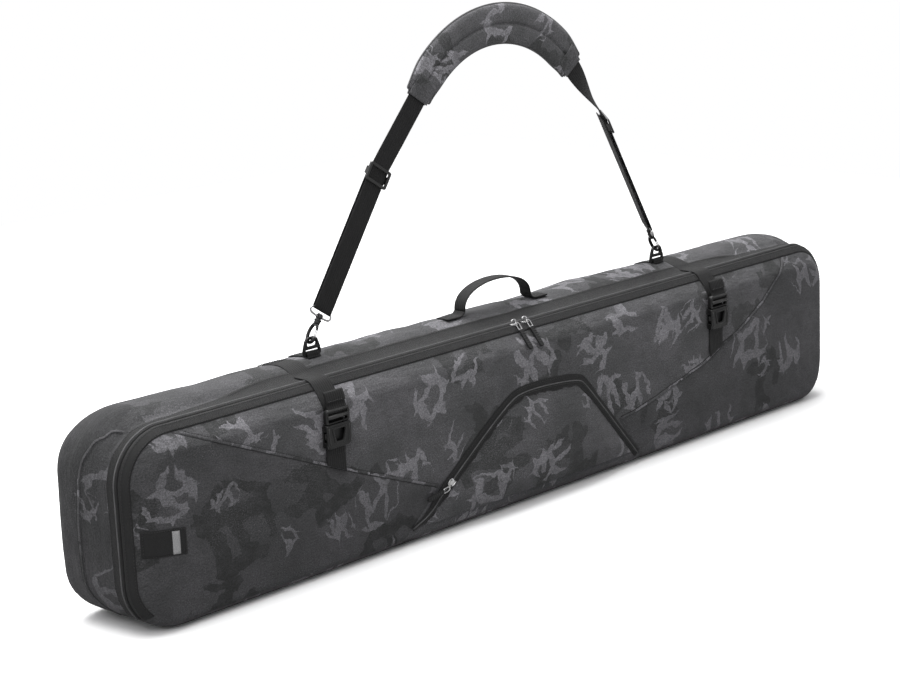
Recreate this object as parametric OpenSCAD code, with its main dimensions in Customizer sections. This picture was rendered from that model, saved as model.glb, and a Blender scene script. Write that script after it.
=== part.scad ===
// Padded snowboard bag standing on its long narrow side.
// X runs along the bag, -Y is the zipped front, +Z is up, and z = 0 is the floor.

/* [Case] */
// Length of the bag
bag_l = 1660; // [1500:10:1800]
// Height of the bag, up to the zip seam
bag_h = 300; // [290:5:330]
// Y of the back face
back_y = 87.5; // [80:0.5:110]
// Radius of the four corners, seen from the front
corner_r = 80; // [70:1:90]
// Rise of the soft top between its seams
crown = 16; // [8:1:20]
// Thickness of the outer cloth
cloth = 2; // [1:0.5:3]
// Thickness of the foam padding
foam = 8; // [5:1:10]
// Thickness of the lining
lining = 1; // [0.5:0.5:1.5]

/* [Front panel] */
// Y of the front panel's flat face
front_y = -87.5; // [-95:0.5:-80]
// How far the front face steps in from the zip seam
bevel = 36; // [30:1:40]
// Height of the seam that the front panel hinges on
hinge_z = 20; // [18:1:24]

/* [Front pocket] */
// Height of the pocket's upper edge
pocket_top = 207; // [190:1:215]
// Width of the dark band round the pocket
pocket_band = 22; // [16:1:26]
// How far the pocket stands out from the panel
pocket_puff = 14; // [8:1:18]

/* [Compression straps] */
// X of the left strap
strap_left = -450; // [-470:1:-440]
// X of the right strap
strap_right = 474; // [464:1:500]
// Width of all strap webbing
web_w = 38; // [34:1:40]
// Thickness of all strap webbing
web_t = 1.5; // [1:0.1:2]

/* [Carry strap] */
// X of the left strap ring
ring_left_x = -400; // [-410:1:-390]
// X of the right strap ring
ring_right_x = 432; // [430:1:436]
// Lean of the left leg of the shoulder strap, in degrees
lean_left = 33.8; // [30:0.1:36]
// Lean of the right leg of the shoulder strap, in degrees
lean_right = -28.7; // [-32:0.1:-26]
// Turn of the right leg's webbing about its own length, in degrees
turn_right = 57; // [0:1:60]
// Radius of the shoulder pad's arc at mid width
pad_r = 224; // [220:1:228]
// Width of the shoulder pad
pad_w = 65; // [55:1:70]
// Thickness of the shoulder pad
pad_t = 14; // [10:1:18]

/* [Hidden] */
$fn = 48;

half_l = bag_l / 2;
straight = half_l - corner_r;      // half length of the straight top and bottom
rim_y = -55;                       // front rim of the case
seat_y = rim_y - 3;                // rear edge of the front panel, past the zip
strip_t = 1;                       // thickness of the zip's cover strips
zip_end_z = 24;                    // height of the zip's lower ends
wall = cloth + foam + lining;
gap = 0.3;                         // running gap between different bodies
hw_y = 10;                         // Y of the rings and the shoulder strap
crown_front = -22;                 // where the soft top starts to rise
crown_rear = back_y - cloth;       // where it ends
camo = [0.28, 0.28, 0.30];
dark = [0.10, 0.10, 0.11];
plastic = [0.05, 0.05, 0.055];
nickel = [0.75, 0.75, 0.77];

// Height of the soft top at a given Y
function top_z(y) = y <= crown_front ? bag_h :
    bag_h + crown * sin(180 * pow((y - crown_front) / (crown_rear - crown_front), 0.7));

// Stations across the soft top
top_ys = [for (i = [0 : 16]) crown_front + (crown_rear - crown_front) * i / 16];

// ---- placing helpers ----

// Outline seen from the front, pushed back from y1 to y0
module from_front(y0, y1)
    translate([0, y1, 0]) rotate([90, 0, 0]) linear_extrude(y1 - y0) children();

// Section seen from the end (Y, Z), run from x0 to x1
module along_x(x0, x1)
    translate([x0, 0, 0]) rotate([90, 0, 90]) linear_extrude(x1 - x0) children();

// Space of a given side beyond the straight top: -1 left, 1 right
module end_zone(side)
    translate([side > 0 ? straight : -half_l - 20, -150, -20]) cube([corner_r + 20, 300, bag_h + 40]);

// Everything above a height
module above(z)
    translate([-half_l - 50, -150, z]) cube([bag_l + 100, 300, bag_h + 100]);

// Rounded rectangle about the origin
module round_rect(w, h, r) {
    square([w - 2 * r, h], center = true);
    square([w, h - 2 * r], center = true);
    for (sx = [-1, 1], sz = [-1, 1])
        translate([sx * (w / 2 - r), sz * (h / 2 - r)]) circle(r);
}

// Front outline of the case, moved in by a distance
module outline(inset = 0)
    translate([0, bag_h / 2])
        round_rect(bag_l - 2 * inset, bag_h - 2 * inset, corner_r - inset);

// Band of the soft top between two depths below its surface
module crown_band(d0, d1, y0 = crown_front, y1 = crown_rear) {
    ys = concat([y0], [for (y = top_ys) if (y > y0 && y < y1) y], [y1]);
    n = len(ys) - 1;
    polygon(concat(
        [for (y = ys) [y, top_z(y) - d0]],
        [for (i = [n : -1 : 0]) [ys[i], top_z(ys[i]) - d1]]));
}

// ---- case ----

module end_wall(side, d0, d1, y0, y1)
    intersection() {
        end_zone(side);
        from_front(y0, y1) difference() { outline(d0); outline(d1); }
    }

module back_panel() color(camo) from_front(back_y - cloth, back_y) outline();

module back_foam() color("dimgray")
    from_front(back_y - cloth - foam, back_y - cloth) outline(cloth);

// Soft top wall between two depths, with its flat front rim
module top_wall(d0, d1, rear)
    along_x(-straight, straight) crown_band(d0, d1, rim_y, rear);

module top_gusset() color(camo) top_wall(0, cloth, crown_rear);

// Floor panel, with the turned-up front edge that carries the hinge seam
module bottom_gusset() color(camo) {
    along_x(-straight, straight)
        polygon([[crown_rear, 0], [rim_y - 7, 0], [-84.5, 11], [-83.3, 13], [rim_y - 6, cloth + 0.5],
            [rim_y, cloth], [crown_rear, cloth]]);
}

module left_end_gusset() color(camo) end_wall(-1, 0, cloth, rim_y, crown_rear);
module right_end_gusset() color(camo) end_wall(1, 0, cloth, rim_y, crown_rear);

// Padding strip all round, inside the gussets
module gusset_foam() color("dimgray") {
    rear = crown_rear - foam;
    top_wall(cloth, cloth + foam, rear);
    for (side = [-1, 1]) end_wall(side, cloth, cloth + foam, rim_y, rear);
    translate([-straight, rim_y, cloth]) cube([2 * straight, rear - rim_y, foam]);
}

module case_lining() color("slategray") {
    rear = crown_rear - foam - lining;
    d = cloth + foam;
    top_wall(d, wall, rear);
    for (side = [-1, 1]) end_wall(side, d, wall, rim_y, rear);
    translate([-straight, rim_y, d]) cube([2 * straight, rear - rim_y, lining]);
    from_front(rear, rear + lining) outline(d);
}

// ---- main zip ----

module zip_outer_strip() color(dark)
    intersection() {
        above(zip_end_z);
        from_front(rim_y + 1, crown_front) difference() { outline(-strip_t); outline(0); }
    }

module zip_tape(y0, y1) color(dark)
    intersection() {
        above(zip_end_z);
        from_front(y0, y1) difference() { outline(0); outline(7); }
    }

module zip_tape_case() zip_tape(rim_y - 1.3, rim_y);
module zip_tape_front() zip_tape(seat_y, seat_y + 1.3);

// Two-strip slider body, centred over the zip's groove
module slider_body(len, wid, tall) {
    translate([-len / 2, -wid / 2, 0]) cube([len, wid, tall * 0.45]);
    translate([-len / 2 + 2, -wid / 2 + 1, tall * 0.45]) cube([len - 4, wid - 2, tall * 0.2]);
    translate([-2, -2, tall * 0.6]) cube([4, 4, tall * 0.4]);
}

slider_y = -56.5;
slider_z = bag_h + strip_t + 0.4;
slider_x = [-16, 10];

module zip_slider(i) color(nickel) translate([slider_x[i], slider_y, slider_z]) slider_body(15, 11, 6);
module zip_slider_left() zip_slider(0);
module zip_slider_right() zip_slider(1);

// Pull: a metal tab, then a flat moulded cord end, hanging along -Z from its hinge
module pull(len, wid) {
    color(nickel) difference() {
        translate([-wid / 2, -0.8, -14]) cube([wid, 1.6, 15]);
        translate([-wid / 4, -2, -11]) cube([wid / 2, 4, 5]);
    }
    color(plastic) translate([-wid / 2 + 1, -1.2, -len]) cube([wid - 2, 2.4, len - 14]);
}

pull_hinge = [0, -63.4, slider_z + 2.8];
// The front bevel's angle from vertical
bevel_a = atan2(seat_y - front_y, bevel);

module zip_pull(i)
    translate([slider_x[i], pull_hinge[1], pull_hinge[2]]) rotate([-bevel_a, 0, 0]) pull(52, 10);
module zip_pull_left() zip_pull(0);
module zip_pull_right() zip_pull(1);

// ---- front panel ----

// Block behind the front panel's surface, moved in by a distance
module front_block(d)
    hull() {
        from_front(seat_y - 0.01, seat_y + (d > 0 ? 1 : 0)) outline(d, $fn = 32);
        from_front(front_y + d, front_y + d + 0.01)
            translate([0, (bag_h - bevel - d - 60) / 2])
                round_rect(bag_l - 2 * (bevel + d), bag_h - bevel - d + 60,
                    corner_r - bevel - d, $fn = 32);
    }

// Layer of the front panel between two depths
module front_layer(d0, d1)
    intersection() {
        above(hinge_z + 0.5);
        translate([-half_l - 50, -150, -100]) cube([bag_l + 100, 150 + seat_y, 500]);
        difference() { front_block(d0); front_block(d1); }
    }

// Diagonal seams: the left one and the right one, from the floor upward
seam_l = [[-330, 0], [-232, 80], [-424, 156], [-704, 274], [-860, 340]];
seam_r = [[270, 0], [208, 92], [317, 116], [457, 151], [533, 183], [610, 222], [690, 280], [760, 340]];

module left_zone()
    polygon(concat(seam_l, [[-900, 340], [-900, -10], [-330, -10]]));
module right_zone()
    polygon(concat(seam_r, [[900, 340], [900, -10], [270, -10]]));

module front_panel_centre() color(camo) difference() {
    front_layer(0, cloth);
    from_front(-150, 0) left_zone();
    from_front(-150, 0) right_zone();
}
module front_panel_left() color(camo) intersection() {
    front_layer(0, cloth);
    from_front(-150, 0) left_zone();
}
module front_panel_right() color(camo) intersection() {
    front_layer(0, cloth);
    from_front(-150, 0) right_zone();
}
module front_foam() color("dimgray") front_layer(cloth, cloth + foam);
module front_lining() color("slategray") front_layer(cloth + foam, wall);

module zip_inner_strip() color(dark) intersection() {
    above(zip_end_z);
    translate([-half_l - 50, seat_y - 9, 0]) cube([bag_l + 100, 9, 500]);
    difference() { front_block(-strip_t); front_block(0); }
}

module label_patch() color([0.16, 0.16, 0.17])
    translate([-794, front_y - 0.8, 114]) cube([50, 0.8, 41]);

// ---- front pocket ----

pocket_pts = [[-342, 0], [-232, 80], [-78, pocket_top - 15], [-30, pocket_top], [105, pocket_top - 9],
    [130, pocket_top - 27], [262, 24], [276, 0]];
pocket_hinge_z = 30;

module pocket_outline(inset) offset(delta = -inset) polygon(pocket_pts);

module pocket_zip_strip() color(dark) intersection() {
    above(pocket_hinge_z + 6);
    from_front(front_y - 1.2, front_y) difference() {
        pocket_outline(0);
        pocket_outline(pocket_band);
    }
}

// Block behind the pocket's surface, moved in by a distance
module pocket_block(d)
    hull() {
        from_front(front_y - 0.5, front_y - 0.4 + (d > 0 ? 1 : 0)) pocket_outline(pocket_band + 0.5 + d);
        from_front(front_y - pocket_puff + d, front_y - pocket_puff + d + 0.1)
            pocket_outline(pocket_band + 30 + d);
    }

module pocket_panel() color(camo) intersection() {
    above(pocket_hinge_z + 1);
    translate([-500, -150, 0]) cube([1000, 150 + front_y - 0.4, 400]);
    difference() { pocket_block(0); pocket_block(cloth); }
}

// Direction of the pocket zip's left run, in the XZ plane
run = pocket_pts[2] - pocket_pts[1];
run_dir = run / norm(run);
run_a = atan2(run_dir[1], run_dir[0]);
pocket_slider_at = pocket_pts[1] + 20 * run_dir + pocket_band / 2 * [run_dir[1], -run_dir[0]];

module on_pocket_run(y)
    translate([pocket_slider_at[0], y, pocket_slider_at[1]]) rotate([0, -run_a, 0]) children();

module pocket_slider() color(nickel)
    on_pocket_run(front_y - 3.4) rotate([90, 0, 0]) slider_body(15, 9, 6);

module pocket_pull()
    on_pocket_run(front_y - 7.2) translate([-10, 0, 0]) rotate([0, 80 + run_a, 0]) pull(50, 9);

// ---- compression straps and side-release buckles ----

strap_x = [strap_left, strap_right];

// Root run: over the soft top, down the bevel, and under the buckle's plug
module strap_upper(i) color(dark) {
    ys = [for (y = top_ys) if (y > crown_front + 1 && y < 62) y];
    n = len(ys) - 1;
    low = strip_t + 1;
    nose = front_y - 1.4;
    along_x(strap_x[i] - web_w / 2, strap_x[i] + web_w / 2)
        polygon(concat(
            [for (j = [n : -1 : 0]) [ys[j], top_z(ys[j]) + low + web_t]],
            [[-24, bag_h + low + web_t], [seat_y - 1.9, bag_h + low + web_t],
                [nose - web_t, bag_h - bevel + 2.2], [nose - web_t, 241],
                [nose, 241], [nose, bag_h - bevel + 1.6], [seat_y - 1.2, bag_h + low],
                [-24, bag_h + low]],
            [for (y = ys) [y, top_z(y) + low]]));
    // sewn end, stitched down behind the crest
    along_x(strap_x[i] - web_w / 2, strap_x[i] + web_w / 2)
        crown_band(-low, 0, 48, 61);
}
module left_strap_upper() strap_upper(0);
module right_strap_upper() strap_upper(1);

// Lower run: from the diagonal seam up behind the socket
module left_strap_lower() color(dark) intersection() {
    translate([strap_left - web_w / 2, front_y - web_t, 140]) cube([web_w, web_t, 67]);
    from_front(-150, 0) polygon([[-480, 180], [-424, 157], [-400, 147], [-400, 230], [-480, 230]]);
}
module right_strap_lower() color(dark) intersection() {
    translate([strap_right - web_w / 2, front_y - web_t, 140]) cube([web_w, web_t, 67]);
    from_front(-150, 0) polygon([[440, 147], [457, 152], [510, 174], [510, 230], [440, 230]]);
}

buckle_w = 49;
socket_y = [front_y - 13.5, front_y - 1.8];
plug_y = [front_y - 13.1, front_y - 3.3];
mouth_z = 240;
arm_y = [front_y - 10.2, front_y - 5.4];
arm_pivot_x = 15;

// Hollow half, open upward, with a window in each side for the plug's barbs
module buckle_socket(i) color(plastic) translate([strap_x[i], 0, 0]) difference() {
    from_front(socket_y[0], socket_y[1]) translate([0, 221.5]) round_rect(buckle_w, 37, 4);
    translate([-20, front_y - 11.3, 211]) cube([40, 7.2, 40]);
    for (s = [-1, 1]) translate([s > 0 ? 19 : -30, front_y - 12, 214]) cube([11, 8.6, 14]);
    translate([-20, front_y - 20, 206]) cube([40, 30, 2.6]);
    // window in the face
    from_front(front_y - 20, front_y - 9)
        polygon([[-6.5, 214], [6.5, 214], [10, 231], [-10, 231]]);
}
module left_buckle_socket() buckle_socket(0);
module right_buckle_socket() buckle_socket(1);

// Plug: ladder frame for the webbing above, centre tongue below
module buckle_plug(i) color(plastic) translate([strap_x[i], 0, 0]) {
    difference() {
        from_front(plug_y[0], plug_y[1]) translate([0, 252]) round_rect(buckle_w - 1, 23.2, 3.5);
        translate([-20, front_y - 20, 247.5]) cube([40, 30, 3]);
        translate([-20, front_y - 20, 255.5]) cube([40, 30, 3]);
    }
    translate([-4, front_y - 7.4, 213]) cube([8, 3, 28]);
}
module left_buckle_plug() buckle_plug(0);
module right_buckle_plug() buckle_plug(1);

// Spring arm with its barb; side is -1 or 1
module buckle_arm(i, side) color(plastic) translate([strap_x[i], 0, 0])
    from_front(arm_y[0], arm_y[1])
        polygon([for (p = [[13.4, 240], [13.4, 219], [15, 213.5], [18, 213.5], [22.6, 219], [22.6, 226.5],
            [17.2, 227.5], [16.6, 240]]) [side * p[0], p[1]]]);
module left_buckle_arm_a() buckle_arm(0, -1);
module left_buckle_arm_b() buckle_arm(0, 1);
module right_buckle_arm_a() buckle_arm(1, -1);
module right_buckle_arm_b() buckle_arm(1, 1);

// Loose end above the plug, with a folded hem
module strap_tail(i) color(dark) translate([strap_x[i] - web_w / 2, 0, 0]) {
    translate([0, front_y - 9.6, 263.6]) cube([web_w, web_t, 26]);
    translate([0, front_y - 9.6 - web_t, 276]) cube([web_w, web_t, 13.6]);
}
module left_strap_tail() strap_tail(0);
module right_strap_tail() strap_tail(1);

// ---- carry handle ----

handle_x = 6;
handle_half = 82;
handle_h = 42;
handle_w = 25;
handle_t = 3;
handle_axis_z = top_z(hw_y) + 3.4;

module handle_tabs() color(dark)
    for (s = [-1, 1])
        translate([handle_x + s * (handle_half + 17), 0, 0])
            along_x(-22, 22) crown_band(-2.6, -0.1, hw_y - handle_w / 2, hw_y + handle_w / 2);

// Webbing arch on two narrow necks
module carry_handle() color(dark) {
    n = 24;
    a_out = [for (i = [0 : n]) 180 * i / n];
    translate([handle_x, 0, handle_axis_z + 7.6])
        from_front(hw_y - handle_w / 2, hw_y + handle_w / 2)
            polygon(concat(
                [for (a = a_out) [handle_half * cos(a), handle_h * pow(sin(a), 0.8)]],
                [for (i = [n : -1 : 0])
                    [(handle_half - handle_t) * cos(a_out[i]),
                        (handle_h - handle_t) * pow(sin(a_out[i]), 0.8)]]));
    for (s = [-1, 1])
        translate([handle_x + s * (handle_half - handle_t / 2) - handle_t / 2, hw_y - 3, handle_axis_z + 2.6])
            cube([handle_t, 6, 5]);
}

// ---- anchor rings ----

ring_x = [ring_left_x, ring_right_x];
ring_z = top_z(hw_y) + 5.6;        // lower bar
ring_rise = 25;                    // lower bar to upper bar
bar_r = 2.5;
tab_w = 25;

module rod_x(len, r) rotate([0, 90, 0]) cylinder(h = len, r = r, center = true);

// Webbing tab: a loop round the ring's lower bar and a tail on the soft top
module anchor_tab(i) color(dark) {
    translate([ring_x[i], hw_y, ring_z]) difference() {
        rod_x(tab_w, 4.8);
        rod_x(tab_w + 2, 3.2);
    }
    along_x(ring_x[i] - tab_w / 2, ring_x[i] + tab_w / 2) crown_band(-2.2, -0.1, hw_y, 50);
}
module left_anchor_tab() anchor_tab(0);
module right_anchor_tab() anchor_tab(1);

// Three-sided plastic ring: slot below for the tab, hole above for the hook
module ring(i) color(plastic) translate([ring_x[i], hw_y, ring_z]) {
    rod_x(34, bar_r);
    translate([0, 0, ring_rise]) rod_x(26, bar_r);
    translate([0, bar_r, 0]) rotate([90, 0, 0]) linear_extrude(2 * bar_r) difference() {
        polygon([[-17.5, -2.5], [17.5, -2.5], [17.5, 9], [13.5, 27.5], [-13.5, 27.5], [-17.5, 9]]);
        translate([-13.6, -3]) square([27.2, 9.4]);
        polygon([[-9, 13], [9, 13], [10.4, 16.5], [9.4, 28], [-9.4, 28], [-10.4, 16.5]]);
    }
}
module left_ring() ring(0);
module right_ring() ring(1);

// ---- shoulder strap ----

lean = [lean_left, lean_right];
turn = [0, turn_right];
adjust_w = [278, 276];             // ring bar to adjuster, along each leg
loop_w = 47;                       // ring bar to the wire loop's upper bar
eye_w = 36;                        // ring bar to the wire loop's lower bar
wire_r = 1.75;
sheet_in = 1.85;                   // webbing layers stand off the middle plane

// Leg frame: origin at the ring's upper bar, +Z up along the leg
module leg(i, turned = true)
    translate([ring_x[i], hw_y, ring_z + ring_rise]) rotate([0, lean[i], 0])
        rotate([0, 0, turned ? turn[i] : 0]) children();

// Snap hook: crook round the bar, shank, and a barrel that holds the swivel
module hook(i) color(plastic) leg(i, false) {
    rotate([90, 0, 90]) translate([0, 0, -2.5]) linear_extrude(5) difference() {
        union() {
            circle(9.6);
            translate([-3, 6]) square([9, 12.5]);
            translate([-6.2, 14.6]) square([4, 3.9]);
        }
        circle(5.6);
        translate([-12, 0.5]) square([10.4, 9.5]);
    }
    difference() {
        translate([0, 0, 18]) cylinder(h = 12, r = 6);
        translate([0, 0, 20]) cylinder(h = 4, r = 4.3);
        translate([0, 0, 23]) cylinder(h = 8, r = 2.56);
    }
}
module left_hook() hook(0);
module right_hook() hook(1);

gate_at = [-5, 13];                // gate pivot in the hook's own (Y, along-leg) plane
gate_tip = [-7.6, 1.9];

module hook_gate(i) color(nickel) leg(i, false) {
    d = gate_tip - gate_at;
    translate([0, gate_at[0], gate_at[1]]) rotate([atan2(-d[0], d[1]), 0, 0])
        translate([0, 0, -0.9]) cylinder(h = norm(d) + 1.3, r = 1.1);
}
module left_hook_gate() hook_gate(0);
module right_hook_gate() hook_gate(1);

// Swivel eye: headed stem in the barrel, eye round the wire loop
module swivel_eye(i) color(plastic) leg(i) {
    translate([0, 0, 20.4]) cylinder(h = 2.4, r = 4);
    translate([0, 0, 21]) cylinder(h = 11.2, r = 2.5);
    difference() {
        translate([0, 0, eye_w]) rod_x(6, 5);
        translate([0, 0, eye_w]) rod_x(8, 2.1);
    }
}
module left_swivel_eye() swivel_eye(0);
module right_swivel_eye() swivel_eye(1);

module wire_loop(i) color(nickel) leg(i) {
    half = web_w / 2 + 3;
    for (w = [eye_w, loop_w]) {
        translate([0, 0, w]) rod_x(2 * half, wire_r);
        for (s = [-1, 1]) translate([s * half, 0, w]) sphere(wire_r);
    }
    for (s = [-1, 1]) translate([s * half, 0, eye_w]) cylinder(h = loop_w - eye_w, r = wire_r);
}
module left_wire_loop() wire_loop(0);
module right_wire_loop() wire_loop(1);

// Ends of the pad's centre line
pad_c = [36, 562];
pad_from = 37.2;
pad_to = 145.2;
function pad_end(a) = [pad_c[0] + pad_r * cos(a), pad_c[1] + pad_r * sin(a)];
function leg_point(i, w) = [ring_x[i] + w * sin(lean[i]), ring_z + ring_rise + w * cos(lean[i])];

// Webbing: down the front, round the wire loop, back up to the adjuster; then on to the pad
module webbing(i, pad_a) color(dark) {
    leg(i) {
        translate([-web_w / 2, -sheet_in - web_t, loop_w]) cube([web_w, web_t, adjust_w[i] - loop_w + 17]);
        translate([-web_w / 2, sheet_in, loop_w]) cube([web_w, web_t, adjust_w[i] - loop_w + 16]);
        intersection() {
            difference() {
                translate([0, 0, loop_w]) rod_x(web_w, sheet_in + web_t);
                translate([0, 0, loop_w]) rod_x(web_w + 2, sheet_in);
            }
            translate([-web_w, -10, loop_w - 10]) cube([2 * web_w, 20, 10]);
        }
    }
    a = leg_point(i, adjust_w[i] + 17);
    b = pad_end(pad_a);
    d = b - a;
    run_len = norm(d) - 2.5;
    tilt = atan2(d[0], d[1]);
    off = -sheet_in - web_t / 2;
    translate([a[0] - off * sin(turn[i]) * cos(lean[i]), hw_y + off * cos(turn[i]), a[1]])
        rotate([0, tilt, 0]) linear_extrude(run_len, twist = turn[i], slices = turn[i] > 0 ? 10 : 1)
            rotate(turn[i]) square([web_w, web_t], center = true);
}
module left_webbing() webbing(0, pad_to);
module right_webbing() webbing(1, pad_from);

// Three-bar slide: open frame in front, centre bar between the layers
module adjuster(i) color(plastic) leg(i) translate([0, 0, adjust_w[i]]) {
    difference() {
        translate([0, -3.75, 0]) rotate([90, 0, 0]) linear_extrude(2.8) round_rect(web_w + 10, 30, 4);
        translate([-web_w / 2 - 1, -8, -10.5]) cube([web_w + 2, 6, 21]);
    }
    for (s = [-1, 1])
        translate([s * (web_w / 2 + 3) - 2, -5, -6]) cube([4, 6.4, 12]);
    translate([-web_w / 2 - 5, -1.4, -3]) cube([web_w + 10, 2.8, 6]);
}
module left_adjuster() adjuster(0);
module right_adjuster() adjuster(1);

module shoulder_pad() color(camo)
    translate([pad_c[0], hw_y - 2.6, pad_c[1]]) rotate([90, 0, 0])
        rotate([0, 0, pad_from]) rotate_extrude(angle = pad_to - pad_from, $fn = 96)
            translate([pad_r, 0]) round_rect(pad_w, pad_t, 5);

back_panel();
back_foam();
top_gusset();
bottom_gusset();
left_end_gusset();
right_end_gusset();
gusset_foam();
case_lining();
zip_outer_strip();
zip_tape_case();
left_strap_upper();
right_strap_upper();
left_anchor_tab();
right_anchor_tab();
handle_tabs();
carry_handle();
front_panel_centre();
front_panel_left();
front_panel_right();
front_foam();
front_lining();
zip_inner_strip();
zip_tape_front();
pocket_zip_strip();
pocket_panel();
label_patch();
left_strap_lower();
right_strap_lower();
left_buckle_socket();
right_buckle_socket();
left_buckle_plug();
right_buckle_plug();
left_buckle_arm_a();
left_buckle_arm_b();
right_buckle_arm_a();
right_buckle_arm_b();
left_strap_tail();
right_strap_tail();
zip_slider_left();
zip_slider_right();
zip_pull_left();
zip_pull_right();
pocket_slider();
pocket_pull();
left_ring();
right_ring();
left_hook();
right_hook();
left_hook_gate();
right_hook_gate();
left_swivel_eye();
right_swivel_eye();
left_wire_loop();
right_wire_loop();
left_webbing();
right_webbing();
left_adjuster();
right_adjuster();
shoulder_pad();
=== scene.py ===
import math

import bmesh
import bpy
from mathutils import Matrix, Vector, noise


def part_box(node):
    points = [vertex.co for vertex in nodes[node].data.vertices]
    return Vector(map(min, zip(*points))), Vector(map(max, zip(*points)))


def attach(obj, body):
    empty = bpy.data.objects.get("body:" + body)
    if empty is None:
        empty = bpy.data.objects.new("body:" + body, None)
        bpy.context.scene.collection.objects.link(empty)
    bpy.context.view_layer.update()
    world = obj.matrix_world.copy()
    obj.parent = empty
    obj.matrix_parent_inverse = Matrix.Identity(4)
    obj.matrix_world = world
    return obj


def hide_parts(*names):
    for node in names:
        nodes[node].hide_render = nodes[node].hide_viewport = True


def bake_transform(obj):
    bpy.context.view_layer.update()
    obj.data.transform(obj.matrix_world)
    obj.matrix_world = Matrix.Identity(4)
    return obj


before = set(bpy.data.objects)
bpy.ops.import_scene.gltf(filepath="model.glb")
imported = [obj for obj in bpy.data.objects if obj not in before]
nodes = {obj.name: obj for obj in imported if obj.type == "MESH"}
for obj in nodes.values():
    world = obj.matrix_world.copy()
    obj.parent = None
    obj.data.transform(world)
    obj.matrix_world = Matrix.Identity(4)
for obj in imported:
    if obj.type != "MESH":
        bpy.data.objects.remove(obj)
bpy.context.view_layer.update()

MM = 0.001
scene = bpy.context.scene


def lo_hi(node):
    """A CAD node's box in millimetres."""
    lo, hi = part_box(node)
    return lo / MM, hi / MM


def smooth(a, b, x):
    t = min(max((x - a) / (b - a), 0.0), 1.0)
    return t * t * (3 - 2 * t)


def mix(a, b, t):
    return a + (b - a) * t


# ---------------------------------------------------------------- camera

YAW, PITCH, ROLL = (math.radians(v) for v in (44.5404, 13.7009, -2.5526))
CAMERA_AT = (-2.54414, -2.47489, 1.13547)
LENS_MM = 87.31
ahead = Vector((math.sin(YAW) * math.cos(PITCH), math.cos(YAW) * math.cos(PITCH), -math.sin(PITCH)))
level = Vector((math.cos(YAW), -math.sin(YAW), 0))
upward = level.cross(ahead)
cam_x = math.cos(ROLL) * level + math.sin(ROLL) * upward
cam_y = -math.sin(ROLL) * level + math.cos(ROLL) * upward
camera = bpy.data.objects.new("camera", bpy.data.cameras.new("camera"))
camera.matrix_world = Matrix.Translation(CAMERA_AT) @ Matrix(
    (cam_x, cam_y, -ahead)).transposed().to_4x4()
camera.data.lens = LENS_MM
camera.data.sensor_width = 36
camera.data.clip_end = 100
scene.collection.objects.link(camera)
scene.camera = camera

# ---------------------------------------------------------------- materials


class Shader:
    """A node material being built. Values are given by socket, _0 being the first; a socket as a value is linked."""

    def __init__(self, name, **base):
        self.mat = bpy.data.materials.new(name)
        self.mat.use_nodes = True
        self.tree = self.mat.node_tree
        self.bsdf = self.tree.nodes["Principled BSDF"]
        self.set(self.bsdf, base)

    def set(self, node, values):
        for key, value in values.items():
            socket = node.inputs[key]
            if isinstance(value, bpy.types.NodeSocket):
                self.tree.links.new(value, socket)
            elif socket.type == "RGBA":
                value = value if hasattr(value, "__len__") else (value,) * 3
                socket.default_value = (*value, 1)[:4]
            else:
                socket.default_value = value

    def add(self, kind, settings=None, out=0, **inputs):
        node = self.tree.nodes.new("ShaderNode" + kind)
        for key, value in (settings or {}).items():
            setattr(node, key, value)
        self.set(node, {(int(k[1:]) if k[0] == "_" else k): v for k, v in inputs.items()})
        return node.outputs[out]

    def noise(self, where, scale, detail=2.0, rough=0.5, out=0):
        return self.add("TexNoise", None, out, Vector=where, Scale=scale, Detail=detail, Roughness=rough)

    def math(self, op, a, b=0.0):
        return self.add("Math", {"operation": op}, _0=a, _1=b)

    def times(self, a, b):
        return self.math("MULTIPLY", a, b)

    def vector(self, op, a, b=(0, 0, 0), out=0, **more):
        return self.add("VectorMath", {"operation": op}, out, _0=a, _1=b, **more)

    def ramp(self, value, low, high, to_low=0.0, to_high=1.0):
        node = self.tree.nodes.new("ShaderNodeMapRange")
        node.interpolation_type = "SMOOTHSTEP"
        self.set(node, {0: value, 1: low, 2: high, 3: to_low, 4: to_high})
        return node.outputs[0]

    def blend(self, fac, a, b, mode="MIX"):
        node = self.tree.nodes.new("ShaderNodeMix")
        node.data_type = "RGBA"
        node.blend_type = mode
        self.set(node, {0: fac, 6: a, 7: b})
        return node.outputs[2]

    def bump(self, height, strength, distance, normal=None):
        below = {"Normal": normal} if normal else {}
        return self.add("Bump", Height=height, Strength=strength, Distance=distance, **below)

    def uv(self):
        return self.add("UVMap")

    def place(self):
        return self.add("TexCoord", out=3)

    def moved(self, vector, scale=(1, 1, 1), location=(0, 0, 0), turn=(0, 0, 0)):
        return self.add("Mapping", Vector=vector, Location=location, Rotation=turn, Scale=scale)


def grey(value, warm=0.0, blue=0.0):
    return (value * (1 + warm), value, value * (1 + blue))


def weave_height(s, uv, pitch, turn=0.0):
    """Plain weave: over-and-under bumps of warp and weft, pitch metres apart."""
    k = 2 * math.pi / pitch
    sep = s.add("SeparateXYZ", _0=s.moved(uv, (k, k, 1), turn=(0, 0, turn)))
    across = s.math("SINE", sep)
    along = s.math("SINE", sep.node.outputs[1])
    return s.times(across, along)


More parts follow.
